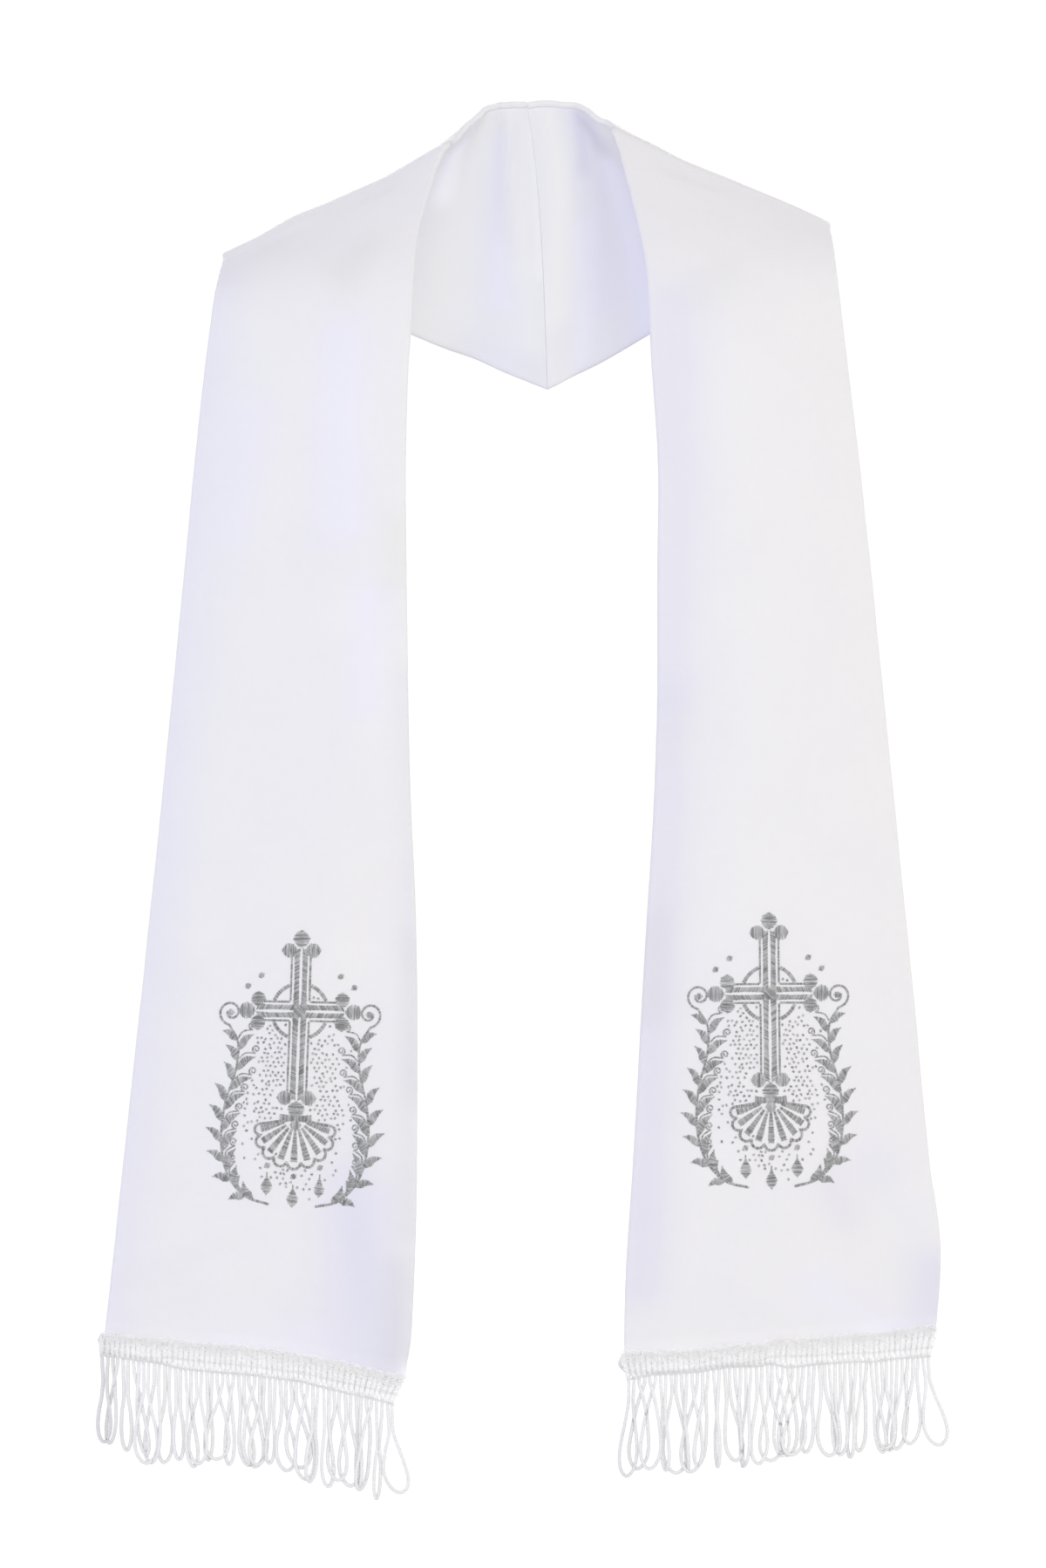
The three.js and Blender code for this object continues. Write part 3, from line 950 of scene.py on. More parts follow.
def standing(tree):
    # the turn that lays an instance along the path, with its Z out of the cloth
    feeds = {
        "Primary Axis": named(tree, "clothNormal", "FLOAT_VECTOR"),
        "Secondary Axis": outputOf(tree, "GeometryNodeInputTangent"),
    }
    return outputOf(tree, "FunctionNodeAxesToRotation", feeds, primary_axis="Z", secondary_axis="X")


def chanceNode(tree, low, high, seed):
    feeds = {2: low, 3: high, "Seed": seed}
    return addNode(tree, "FunctionNodeRandomValue", feeds, data_type="FLOAT").outputs[1]


def vectorOf(tree, **parts):
    return outputOf(tree, "ShaderNodeCombineXYZ", parts)


def finished(tree, geometry, given, result):
    smoothed = outputOf(tree, "GeometryNodeSetShadeSmooth", {"Geometry": geometry})
    feeds = {"Geometry": outputOf(tree, "GeometryNodeRealizeInstances", {"Geometry": smoothed})}
    feed(tree, outputOf(tree, "GeometryNodeSetMaterial", {**feeds, "Material": given["Material"]}), result)
    return tree


def cordTree():
    tree, given, result = newTree("cord", [
        ("Radius", "Float", 0.0005),
        ("Rib pitch", "Float", 0.0008),
        ("Rib depth", "Float", 0.15),
        ("Steps per rib", "Float", 3.0),
        ("Sides", "Int", 6),
    ])
    pitch = given["Rib pitch"]
    even = pathCurve(tree, given, mathNode(tree, "DIVIDE", pitch, given["Steps per rib"]))
    length = addNode(tree, "GeometryNodeSplineParameter").outputs["Length"]
    turn = mathNode(tree, "MULTIPLY", mathNode(tree, "DIVIDE", length, pitch), 2 * math.pi)
    swell = mathNode(tree, "MULTIPLY_ADD", mathNode(tree, "SINE", turn), given["Rib depth"], 1.0)
    thick = mathNode(tree, "MULTIPLY", named(tree, "thick"), given["Radius"])
    radius = mathNode(tree, "MULTIPLY", swell, thick)
    measured = kept(tree, even, "cordLength", length)
    tube = outputOf(tree, "GeometryNodeCurveToMesh", {
        "Curve": outputOf(tree, "GeometryNodeSetCurveRadius", {"Curve": measured, "Radius": radius}),
        "Profile Curve": ring(tree, given["Sides"]),
        "Scale": outputOf(tree, "GeometryNodeInputRadius"),
        "Fill Caps": True,
    })
    # painted shade: how far each place on the tube is turned away from the front, for the material to grey
    # the flanks
    facing = addNode(tree, "ShaderNodeSeparateXYZ", {"Vector": outputOf(tree, "GeometryNodeInputNormal")})
    aside = mathNode(tree, "SUBTRACT", 1.0, mathNode(tree, "ABSOLUTE", facing.outputs["Y"]))
    return finished(tree, kept(tree, tube, "aside", aside), given, result)


# The fringe
fringe = {
    "legs": {"left": 56, "right": 58},
    "cordRadius": 0.71,
    "ribDepth": 0.05,
    "spread": 1.44,  # how much thicker the cord is where the heading presses it flat
    "archTop": 0.9,  # top of the arches below the top of the heading
    "foot": 9.7,  # from here down the drops below are measured
    "over": 0.72,  # height of the cord's middle over the satin
    "pathStep": 0.7,
    "taperReach": 11,  # the ends of the heading are drawn in over this width
    "lean": 0.55,  # the legs lean this way and that in the heading
    "leanReach": 9,
    "legShares": (0.4, 0.65, 0.85, 1),  # where a leg's path has its points, down to the foot of the heading
    "uneven": 0.16,
    "pinch": 0.27,  # share of the drop at which the two legs of a loop come together
    "pinchUneven": (0.75, 1.35),
    "closeUneven": (1.0, 1.25),  # how near they come there, in radii of the cord
    "openness": (1.0, 4.7),  # half the width of the narrowest and the widest loop
    "opennessLean": (1.7, 1.5),  # the chances between the two
    "narrowest": 0.5,
    "yaw": 28,
    "edgeOn": 0.16,  # share of the loops that hang edge-on
    "edgeOnYaw": 75,
    "turning": (0.05, 0.4),  # shares of the drop at which a loop starts to turn, and over which it does
    "yawDepth": 0.75,  # share of its width that a turned loop has in depth
    "endYaw": 0.1,  # turn of the loops at both ends, in radians
    "crossing": 0.28,  # share of the loops that are twisted once
    "sway": (1.7, 1.2),
    "swayPower": 1.5,  # above 1, a loop leans more the lower it is
    "layer": 1.2,  # how far a loop hangs before or behind its neighbours
    "endSwing": 0.69,  # share of an end loop's sway that shows where it is widest
    "clump": 2.3,  # neighbouring loops lean together by so much
    "clumpSpacing": 19,
    "footPaintedShade": 0.34,  # painted shade: how much darker the cord is at the foot of a loop
    "endPaintedShadeReach": 7,  # painted shade darkens the ends of the heading named in the table below over this width
    "unevenDrop": 1.0,
    # the cord's end goes round the edge of the cloth: depth, how far beyond the edge, height over its middle
    "tail": [(2.0, 0.5, 1.5), (3.8, 1.4, 0.4), (5.6, 0.8, -1.1), (7.5, -1.0, -2.0)],
}
# Both ends of each fringe: distance of the last leg from the neck edge of the hem, at the top of the heading
# and at its foot; how far the end loop swings out past that leg; half the width of the end loop
# the last entry of each is how dark the painted shade is on the cords at the end that the tail goes round
fringeEnds = {
    "left": {"neck": (1.6, 5.7, 6.1, 4.6), "outer": (114.4, 114.0, 1.6, 2.4), "tail": "outer", "paintedShadeLevel": 0.9},
    "right": {"neck": (-0.4, 1.9, 3.4, 3.2), "outer": (115.2, 112.9, 6.5, 4.2), "tail": "neck", "paintedShadeLevel": 0.45},
}
# By share of the hem from the neck side (0) to the outer side (1): length of the loops, how much lower than
# its line the top of the heading lies, and how far the two rows of chain stitch lie below that
drops = {
    "left": [
        (0, 31), (0.05, 31.5), (0.07, 33.5), (0.09, 35.6), (0.17, 36.1), (0.25, 35.1), (0.34, 34.2),
        (0.5, 33.4), (0.62, 34), (0.75, 35.5), (0.83, 36.1), (0.88, 34.5), (0.93, 33.4), (1, 32.1),
    ],
    "right": [
        (0, 36.4), (0.03, 36.4), (0.08, 34), (0.17, 35.9), (0.3, 34.4), (0.42, 35), (0.55, 33.8),
        (0.7, 34.6), (0.82, 34), (0.9, 34.3), (1, 33.4),
    ],
}
edgeLow = {
    "left": [(0, 0), (0.2, 0.2), (0.5, 0), (0.63, 0.2), (0.8, -0.1), (1, 0)],
    "right": [
        (0, 0), (0.13, 0.5), (0.24, 0.9), (0.34, 0.2), (0.43, 0.9), (0.46, -0.4), (0.5, -0.4),
        (0.56, 0.2), (0.72, 0), (0.8, 0.9), (0.96, 0),
    ],
}
rowsBelow = {
    "left": [
        [(0.05, 7.4), (0.19, 7.4), (0.34, 6.7), (0.44, 7.1), (0.7, 6.9), (0.78, 6.8), (0.86, 7.7), (0.94, 7),
         (1, 7.4)],
        [(0.05, 11.1), (0.19, 11), (0.34, 9.9), (0.44, 10.3), (0.7, 10.4), (0.76, 10.2), (0.79, 9.3),
         (0.87, 8.9), (1, 8.8)],
    ],
    "right": [
        [(0.03, 7.2), (0.1, 7.4), (0.2, 7.4), (0.26, 6.8), (0.37, 6.8), (0.43, 6.2), (0.56, 6.5), (0.7, 7.4),
         (0.96, 7.5)],
        [(0.01, 10.3), (0.05, 9.5), (0.08, 8.7), (0.2, 8.6), (0.32, 8.1), (0.43, 8.2), (0.48, 9.4),
         (0.51, 10.6), (0.61, 10.1), (0.7, 10.6), (1, 10.6)],
    ],
}
# Half a hanging loop: shares of the drop, and half-widths as shares of the loop's own openness
loopShape = [(0.46, 0.55), (0.62, 0.84), (0.78, 1.0), (0.895, 0.86), (0.97, 0.48)]


def byShare(half, table, sideways):
    # a value from a table by share of the hem's width
    shares, values = np.array(table).T
    return np.interp(np.asarray(sideways, float) / half["hemWidth"], shares, values)


def curveThrough(points, step):
    # even points on a smooth curve through the given ones
    points = np.array(points, float)
    points = np.vstack([2 * points[0] - points[1], points, 2 * points[-1] - points[-2]])
    t = np.linspace(0, 1, 17)[:-1, None]
    pieces = []
    for a, b, c, d in zip(points[:-3], points[1:-2], points[2:-1], points[3:]):
        bend, twist = 2 * a - 5 * b + 4 * c - d, 3 * b - a - 3 * c + d
        pieces.append(0.5 * (2 * b + (c - a) * t + bend * t**2 + twist * t**3))
    return evened(np.concatenate([*pieces, points[-2:-1]]), step)


def evened(line, step):
    lengths = np.concatenate([[0], np.cumsum(np.linalg.norm(np.diff(line, axis=0), axis=1))])
    count = max(2, round(lengths[-1] / step) + 1)
    places = np.linspace(0, lengths[-1], count)
    return np.stack([np.interp(places, lengths, line[:, k]) for k in range(line.shape[1])], axis=-1)


def onHem(half, below, sideways, height):
    # a place on the heading: below is measured from the heading's top edge
    sideways = np.asarray(sideways, float)
    below = below + byShare(half, edgeLow[half["label"]], sideways)
    along = half["length"] - headingLap + below
    width = widthAt(half, np.minimum(along, half["length"]))
    return onCloth(half, along, sideways / width, np.asarray(height, float))


def legPlace(half, share, below):
    # distance from the neck edge of the leg that is a share of the way across, at a depth in the heading
    ends = fringeEnds[half["label"]]
    (neckTop, neckFoot, *_), (outerTop, outerFoot, *_) = ends["neck"], ends["outer"]
    foot = neckFoot + (outerFoot - neckFoot) * share
    reach = fringe["taperReach"]
    drawn = (neckTop - neckFoot) * np.exp((neckFoot - foot) / reach)
    drawn = drawn + (outerTop - outerFoot) * np.exp((foot - outerFoot) / reach)
    waver = np.sin(foot / fringe["leanReach"] + half["seed"])
    drawn = drawn + fringe["lean"] * waver * np.sin(math.pi * share)
    return foot + drawn * (1 - clamped(below / fringe["foot"]))


def hangingLoop(half, chance, feet, place, drop, end):
    # the loop that joins two legs below the heading, from the first leg's foot to the second's, with how low
    # each of its points lies
    middle = feet.mean(axis=0)
    wide = unit(feet[1] - feet[0])
    out = unit(np.cross(wide, [0, 0, 1]) * half["side"])
    halfPitch = np.linalg.norm(feet[1] - feet[0]) / 2
    low, high = fringe["openness"]
    openness = low + (high - low) * chance.beta(*fringe["opennessLean"])
    yaw = math.radians(chance.normal(0, fringe["yaw"]))
    if chance.random() < fringe["edgeOn"]:
        yaw += math.radians(fringe["edgeOnYaw"])
    twisted = -1 if chance.random() < fringe["crossing"] else 1
    sway = chance.uniform(-1, 1, 2) * fringe["sway"]
    sway[0] += fringe["clump"] * math.sin(2 * math.pi * place / fringe["clumpSpacing"] + half["seed"])
    if end:  # the loops at both ends swing out past the cloth
        direction, reach, openness = end
        sway[0] = direction * (reach + halfPitch - openness) / fringe["endSwing"]
        yaw, twisted = fringe["endYaw"], 1
    before = chance.uniform(-fringe["layer"], fringe["layer"])
    close = fringe["cordRadius"] * chance.uniform(*fringe["closeUneven"])
    usual = fringe["pinch"]
    pinch = usual * chance.uniform(*fringe["pinchUneven"])
    crossed = twisted < 0
    # share of the drop, sideways and outwards, down the first leg and up the second
    rows = [(0.0, -halfPitch, 0.0), (pinch * 0.4, -halfPitch * 0.9, 0.0)]
    rows.append((pinch, -close * twisted * (0.4 if crossed else 1), close * crossed))
    for share, opened in loopShape:
        depth = pinch + (share - usual) * (1 - pinch) / (1 - usual)
        across = -max(openness * opened, fringe["narrowest"]) * twisted
        rows.append((depth, across, close * 0.5 * (depth < 0.5)))
    rows += [(1.0, 0.0, 0.0)] + [(depth, -across, -lift) for depth, across, lift in reversed(rows)]
    line = []
    turnStart, turnLength = fringe["turning"]
    for depth, across, lift in rows:
        angle = yaw * smooth((depth - turnStart) / turnLength)
        lean = sway * depth ** fringe["swayPower"]
        sidewaysMove = across * math.cos(angle) + lift * math.sin(angle) + lean[0]
        outMove = across * math.sin(angle) * fringe["yawDepth"] + lift * math.cos(angle) + lean[1]
        outMove += before * smooth(depth * 2)
        line.append(middle + wide * sidewaysMove + out * outMove - np.array([0, 0, drop * depth]))
    line[0], line[-1] = feet
    return marked(line, 1, [depth**2 for depth, *_ in rows])


def marked(points, thick, low):
    # the points of a cord, with how thick it is there and how low in its loop
    return np.column_stack([points, np.full(len(points), thick), np.broadcast_to(low, len(points))])


def cordPath(half):
    # one cord, up and down through the heading, from the neck side of the hem to the outer side
    label = half["label"]
    ends = fringeEnds[label]
    chance = np.random.default_rng(half["seed"] + 40)
    count = fringe["legs"][label]
    shares = np.linspace(0, 1, count)
    shifts = chance.uniform(-1, 1, count) * fringe["uneven"]
    height = faceTop + fringe["over"]
    endLoops = {0: (-1, *ends["neck"][2:]), count - 2: (1, *ends["outer"][2:])}

    def leg(k, below):
        return legPlace(half, shares[k], below) + shifts[k]

    def inHeading(below, sideways):
        return marked(onHem(half, below, sideways, np.full(len(sideways), height)), fringe["spread"], 0)

    path = []
    top = fringe["archTop"]
    for k in range(0, count, 2):
        middle = (leg(k, fringe["foot"]) + leg(k + 1, fringe["foot"])) / 2
        foot = float(byShare(half, rowsBelow[label][1], middle))
        drop = byShare(half, drops[label], middle) + chance.normal(0, fringe["unevenDrop"])
        drop += fringe["foot"] - foot
        down = np.array([top + 1.0, *(foot * share for share in fringe["legShares"])])
        first, second = inHeading(down, leg(k, down)), inHeading(down, leg(k + 1, down))
        feet = np.stack([first[-1, :3], second[-1, :3]])
        path += [first[:-1], hangingLoop(half, chance, feet, middle, drop, endLoops.get(k)), second[-2::-1]]
        if k + 2 < count:
            after, before = leg(k + 1, top), leg(k + 2, top)
            path.append(inHeading([top] * 2, [after * 0.8 + before * 0.2, after * 0.2 + before * 0.8]))
    depths, beyond, rise = np.array(fringe["tail"]).T
    outer = ends["tail"] == "outer"
    tail = marked(onHem(half, depths, half["hemWidth"] + beyond if outer else -beyond, rise), 1, 0)
    path = [*path, tail] if outer else [tail[::-1], *path]
    line = curveThrough(np.concatenate(path), fringe["pathStep"])
    corner = onHem(half, 0, half["hemWidth"] * outer, 0)
    # painted shade, darker at the feet of the loops and at the end the tail goes round
    paintedShadeLevel = fringe["footPaintedShade"] * line[:, 4] + ends["paintedShadeLevel"] * bell(line[:, 0] - corner[0], fringe["endPaintedShadeReach"])
    return {"points": line[:, :3], "thick": line[:, 3], "paintedShadeLevel": clamped(paintedShadeLevel)}


# The heading of the fringe
braid = {
    "backHeight": 0.2,  # a row's lower thread lies this far over the satin
    "linkPitch": 1.02,
    "linkLength": 1.45,
    "linkWidth": 0.66,
    "linkThread": 0.15,
    "linkTilt": -0.22,  # in radians
    "linkUneven": (0.85, 1.15),
    "rowOver": -0.4,  # how far the rows run past the end legs
    "yarns": [0.3, 0.8, 1.3, 1.9, 2.5, 3.2, 4.0, 5.0, 6.0],  # depths of the looping yarns
    "spacing": [0.85, 0.9, 0.95, 1.0, 1.0, 1.2, 1.5, 2.0, 2.3],  # from one little loop to the next
    "loopSize": (0.28, 0.72),
    "yarnRadius": 0.14,
    "yarnStep": 0.24,
    "yarnHeights": (1.4, 2.1),
    "yarnWander": 0.3,
    "yarnOver": 0.9,  # how far the looping yarns run past the end legs
    "yarnWave": 0.35,  # how far each little loop rises and sinks
    "yarnTurn": 0.9,  # how unevenly the little loops are turned, in radians
    "yarnPhases": (0, 6),
    "loopPoints": 14,
    "ground": [0.8 + 0.55 * k for k in range(15)],  # depths of the plain threads below the cords
    "groundRadius": 0.3,
    "groundHeight": 0.34,
    "groundStep": 0.8,
    "groundWaves": (0.1, 0.08),  # sideways and in height
    "groundTurns": 1.9,  # of the waves, in radians for each millimetre
    "groundOver": 0.5,  # how far the plain threads run past the end legs
}


def rowPath(half, row, height, step):
    # a path along a row of chain stitch, with the outward and downward directions of the cloth kept on it
    table = rowsBelow[half["label"]][row]
    mean = float(np.mean([depth for _, depth in table]))
    over = braid["rowOver"] + fringe["cordRadius"]
    sideways = np.arange(legPlace(half, 0, mean) - over, legPlace(half, 1, mean) + over + step / 2, step)
    below = byShare(half, table, sideways)
    points = onHem(half, below, sideways, np.full(len(sideways), height))
    above = onHem(half, below, sideways, np.full(len(sideways), height + 1))
    return {"points": points, "clothNormal": unit(above - points)}


def loopingYarn(half, k, chance):
    # a fluffy yarn that makes one little loop after another along the top of the heading
    depth, spacing = braid["yarns"][k], braid["spacing"][k]
    start = legPlace(half, 0, depth) - braid["yarnOver"]
    loops = int((legPlace(half, 1, depth) + braid["yarnOver"] - start) / spacing)
    t = np.arange(loops * braid["loopPoints"] + 1) / braid["loopPoints"]
    knots = loops + 2

    def drifting(values):
        ends = np.floor(t).astype(int)
        blend = smooth(t - ends)
        return values[ends] * (1 - blend) + values[ends + 1] * blend

    size = drifting(chance.uniform(*braid["loopSize"], knots))
    turn = 2 * math.pi * t * (1 if k % 2 else -1) + drifting(chance.normal(0, braid["yarnTurn"], knots))
    sideways = start + spacing * t + size * np.sin(turn)
    below = depth + drifting(chance.normal(0, braid["yarnWander"], knots)) + size * np.cos(turn)
    height = drifting(chance.uniform(*braid["yarnHeights"], knots))
    height = height + braid["yarnWave"] * np.sin(turn + drifting(chance.uniform(*braid["yarnPhases"], knots)))
    points = evened(onHem(half, below, sideways, faceTop + height), braid["yarnStep"])
    return {"points": points, "thick": np.ones(len(points))}


def chainTree():
    tree, given, result = newTree("chainRow", [
        ("Pitch", "Float", 0.001),
        ("Link length", "Float", 0.0015),
        ("Link width", "Float", 0.0009),
        ("Thread", "Float", 0.0002),
        ("Seed", "Int", 1),
    ])
    size = vectorOf(tree, X=given["Link length"], Y=given["Link width"], Z=1.0)
    oval = outputOf(tree, "GeometryNodeTransform", {"Geometry": ring(tree, 8, 0.5), "Scale": size})
    tilt = outputOf(tree, "GeometryNodeTransform", {"Geometry": oval, "Rotation": (0, braid["linkTilt"], 0)})
    spread = outputOf(tree, "GeometryNodeInstanceOnPoints", {
        "Points": pathCurve(tree, given, given["Pitch"]),
        "Instance": threadOn(tree, tilt, given["Thread"], 5),
        "Rotation": standing(tree),
        "Scale": chanceNode(tree, *braid["linkUneven"], given["Seed"]),
    })
    return finished(tree, spread, given, result)


def yarnPiece(name, paths, tree, values, paintedShadeLevel):
    # a part of the heading, with one even level of painted shade
    piece = growPiece(name, paths, tree, values, yarnWhite)
    places = piece.data.attributes.new("paintedShadeLevel", "FLOAT", "POINT").data
    places.foreach_set("value", [float(paintedShadeLevel)] * len(places))
    return piece


def chainRow(half, k):
    # one row of chain stitch over the cords, and its lower thread behind them
    cordTop = faceTop + fringe["over"] + fringe["cordRadius"]
    behind = faceTop + braid["backHeight"] * (k == 0)
    values = {
        "Pitch": braid["linkPitch"] * mm,
        "Link length": braid["linkLength"] * mm,
        "Link width": braid["linkWidth"] * mm,
        "Thread": braid["linkThread"] * mm,
        "Seed": half["seed"] + k,
    }
    rows = [rowPath(half, k, height, 1.0) for height in (cordTop + 0.02, behind)]
    return [yarnPiece("row", [row], chainGrower, values, 1) for row in rows]


def plainYarns(name, paths, radius, step, ribSteps, ribDepth):
    return yarnPiece(name, paths, cordGrower, {
        "Radius": radius * mm,
        "Rib pitch": ribSteps * step * mm,
        "Rib depth": ribDepth,
        "Steps per rib": float(ribSteps),
        "Sides": 4,
    }, 0)


def fluff(half):
    # the looping yarns together make the fluffy upper part of the heading
    chance = np.random.default_rng(half["seed"] + 20)
    yarns = [loopingYarn(half, k, chance) for k in range(len(braid["yarns"]))]
    return plainYarns("fluff", yarns, braid["yarnRadius"], braid["yarnStep"], 4, 0.12)


def groundThreads(half):
    # plain threads across the heading, between the cords and the satin
    phases = np.random.default_rng(half["seed"] + 30).uniform(0, 2 * math.pi, len(braid["ground"]))
    swing, rise = braid["groundWaves"]
    over = braid["groundOver"]
    threads = []
    for depth, phase in zip(braid["ground"], phases):
        start, end = legPlace(half, 0, depth) - over, legPlace(half, 1, depth) + over
        sideways = np.arange(start, end, braid["groundStep"])
        wave = np.sin(sideways * braid["groundTurns"] + phase)
        points = onHem(half, depth + swing * wave, sideways, faceTop + braid["groundHeight"] + rise * wave)
        threads.append({"points": points, "thick": np.ones(len(points))})
    return plainYarns("ground", threads, braid["groundRadius"], braid["groundStep"], 2, 0.0)


cordWhite = cordMaterial("fringe_cord", cordLook)
yarnWhite = yarnMaterial("fringe_braid", yarnLook)
silver = silverMaterial("silver_thread", silverLook)
cordGrower, chainGrower = cordTree(), chainTree()
for half in halves:
    label = half["label"]
    cord = growPiece(label + "_fringe_cord", [cordPath(half)], cordGrower, {
        "Radius": fringe["cordRadius"] * mm,
        "Rib pitch": cordLook["ribPitch"] * mm,
        "Rib depth": fringe["ribDepth"],
    }, cordWhite)
    parts = [*chainRow(half, 0), *chainRow(half, 1), fluff(half), groundThreads(half)]
    top = joined(label + "_fringe_braid", parts, yarnWhite)
    for piece, node, slotName in (
        (cord, "_fringe_loops", "fringe_cord"), (top, "_fringe_heading", "fringe_braid"),
    ):
        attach(piece, "root")
        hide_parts(label + node)
    print(label, "fringe:", [len(piece.data.polygons) for piece in (cord, top)], "faces")


# The embroidery: a budded cross over a shell with three drops, between two leafy sprays
motif = {
    "centre": {"left": (444, 0.415), "right": (441, 0.46)},  # along from the nape seam, share of the width
    "spacing": 0.4,  # from one stitch to the next
    "thread": 0.35,
    "raised": 0.3,  # the middle of a stitch stands up by so much, and its ends lie sunk in the satin
    "sunk": 0.1,
    "line": 1.0,  # width of stems and outlines
    "step": 0.5,
    "slantUneven": 0.07,  # in radians
    "widthUneven": (0.92, 1.1),
}
crossShape = {
    "centre": (0, 21), "up": 22.5, "down": 32, "side": 15.5, "column": 2.7, "slant": 28,
    "waist": 0.22, "gap": 0.08,  # share by which a bar is narrower at its middle, and half the gap in it
    "bud": 3.0, "sideBud": 0.9, "boss": 2.3, "ring": 10.2, "ringGap": 24,
    "ringWidth": 1.5, "border": 0.75,
}
shellShape = {
    "hinge": (0, -18.5), "reach": 15.4, "ribs": 9, "spread": 144, "inner": 4.2, "ribWidth": (1.0, 3.0),
    "shorter": 0.16,  # share that the outermost ribs lose
}
dropShape = {
    "places": [(-9.5, -42.5), (0, -46.6), (9.5, -42.5)],
    "length": 8.2,
    "width": 4.4,
    "fullest": 0.66,  # share of its length, from the top, at which a drop is widest
}
sprayShape = {
    "stem": [(8.5, -50), (17, -47.5), (24, -40), (27, -28), (26.2, -14), (22.8, -1), (22.5, 9), (26, 15.5)],
    "leafStart": 5.5,
    "leafEvery": 7.6,
    "leafStagger": 0.45,  # share of that by which the outer leaves are set off from the inner ones
    "leafLength": 8.2,
    "leafWidth": 3.1,
    "leafFullest": 0.42,
    "leafTurn": 42,
    "leafBend": 0.14,
    "leafSlant": 18,
    "outerLeaf": 0.82,
    "curl": {"centre": (25.5, 20.2), "from": 4.9, "to": 1.3, "start": -112, "turns": 1.35},
    "tendril": {"size": 1.6, "turns": 1.3, "inwards": 6, "ahead": 4.6, "width": 0.6},
}
groundShape = {
    "centre": (0, -8), "reach": (21.5, 39), "pitch": 1.95, "jitter": 0.42, "clear": 0.75, "seed": 21,
    "length": 0.42, "width": 1.05, "rowShare": 0.87, "thinning": (1.15, 2.4),
}
seedDots = [(14.5, 34), (19.5, 30), (0, -15.2), (0, -39.4), (9.5, -35.8)]
dotRadius = 1.15


def pointing(angle):
    return np.array([math.cos(angle), math.sin(angle)])


def stroke(points, width, slant=0.0, lift=0.0):
    # a satin column along the points; width is one number or a share-to-width function
    line = evened(np.array(points, float), motif["step"])
    share = np.linspace(0, 1, len(line))
    widths = width(share) if callable(width) else np.full(len(line), float(width))
    return {"line": line, "width": widths, "slant": slant, "lift": lift}


def lens(width, fullest=0.5):
    power = math.log(0.5) / math.log(fullest)
    return lambda share: width * np.maximum(np.sin(math.pi * share**power), 0.12)


def disc(centre, radius, turn=0.0, lift=0.0):
    # a round of satin stitch, whose stitches lie across its turn, in radians
    reach = pointing(turn) * radius * 0.97
    centre = np.array(centre, float)
    chord = lambda share: 2 * radius * np.sqrt(np.maximum(1 - (2 * share - 1) ** 2, 0.04))
    return stroke([centre - reach, centre + reach], chord, lift=lift)


def circling(centre, radii, angles):
    # points round a centre, at angles in degrees
    turns = np.radians(angles)
    return np.stack([centre[0] + radii * np.cos(turns), centre[1] + radii * np.sin(turns)], axis=-1)


def arc(centre, radius, fromAngle, toAngle):
    count = max(6, int(abs(toAngle - fromAngle) / 9))
    return circling(centre, radius, np.linspace(fromAngle, toAngle, count))


def crossStrokes():
    c = crossShape
    column, bud = c["column"], c["bud"]
    centre = np.array(c["centre"], float)
    made = []
    for run, reach in (((0, 1), c["up"]), ((0, -1), c["down"]), ((1, 0), c["side"]), ((-1, 0), c["side"])):
        run = np.array(run, float)
        across = np.array([-run[1], run[0]])
        widths = lambda share: column * (1 - c["waist"] * np.sin(math.pi * share))
        for side in (-1, 1):
            start = centre + across * side * (column / 2 + c["gap"])
            line = [start + run * (column * 0.55), start + run * reach]
            made.append(stroke(line, widths, side * c["slant"]))
            start = centre + across * side * (column + c["border"])
            line = [start + run * (column + 1.2), start + run * (reach - 0.8)]
            made.append(stroke(line, c["border"], lift=0.05))
        made.append(disc(centre + run * (reach + bud * 1.35), bud, math.atan2(run[1], run[0]), lift=0.08))
        for side in (-1, 1):
            place = centre + run * (reach - 0.2) + across * side * bud * 1.45
            made.append(disc(place, bud * c["sideBud"], math.atan2(across[1], across[0]), lift=0.1))
    for start in (0, 90, 180, 270):
        quarter = arc(centre, c["ring"], start + c["ringGap"], start + 90 - c["ringGap"])
        made.append(stroke(quarter, c["ringWidth"]))
    made.append(disc(centre, c["boss"], turn=0.785, lift=0.25))
    return made


def shellStrokes():
    c = shellShape
    hinge = np.array(c["hinge"], float)
    made, rim = [], []
    half = c["spread"] / 2
    angles = np.linspace(-90 - half, -90 + half, c["ribs"])
    reaches = c["reach"] * (1 - c["shorter"] * (np.abs(angles + 90) / half) ** 2.5)
    between = c["spread"] / (c["ribs"] - 1)
    low, high = c["ribWidth"]
    widths = lambda share: (low + (high - low) * share) * np.where(share > 0.9, 0.86, 1)
    for angle, reach in zip(angles, reaches):
        run = pointing(math.radians(angle))
        made.append(stroke([hinge + run * c["inner"], hinge + run * reach], widths))
        scallop = reach * math.radians(between) / 2
        rim.append(arc(hinge + run * (reach + 0.4), scallop, angle - 88, angle + 88))
    ends = [hinge + (end - hinge) * 0.3 for end in (rim[0][0], rim[-1][-1])]
    made.append(stroke(np.concatenate([ends[:1], *rim, ends[1:]]), motif["line"], lift=0.12))
    ear = lambda share: 1.6 + 1.6 * np.abs(2 * share - 1)
    made.append(stroke([hinge + (-5.6, 0.2), hinge + (5.6, 0.2)], ear, lift=0.1))
    made.append(disc(hinge + (0, -2.2), 1.9, lift=0.15))
    return made


def dropStrokes():
    c = dropShape
    half = c["length"] / 2
    return [stroke([(x, y + half), (x, y - half)], lens(c["width"], c["fullest"])) for x, y in c["places"]]


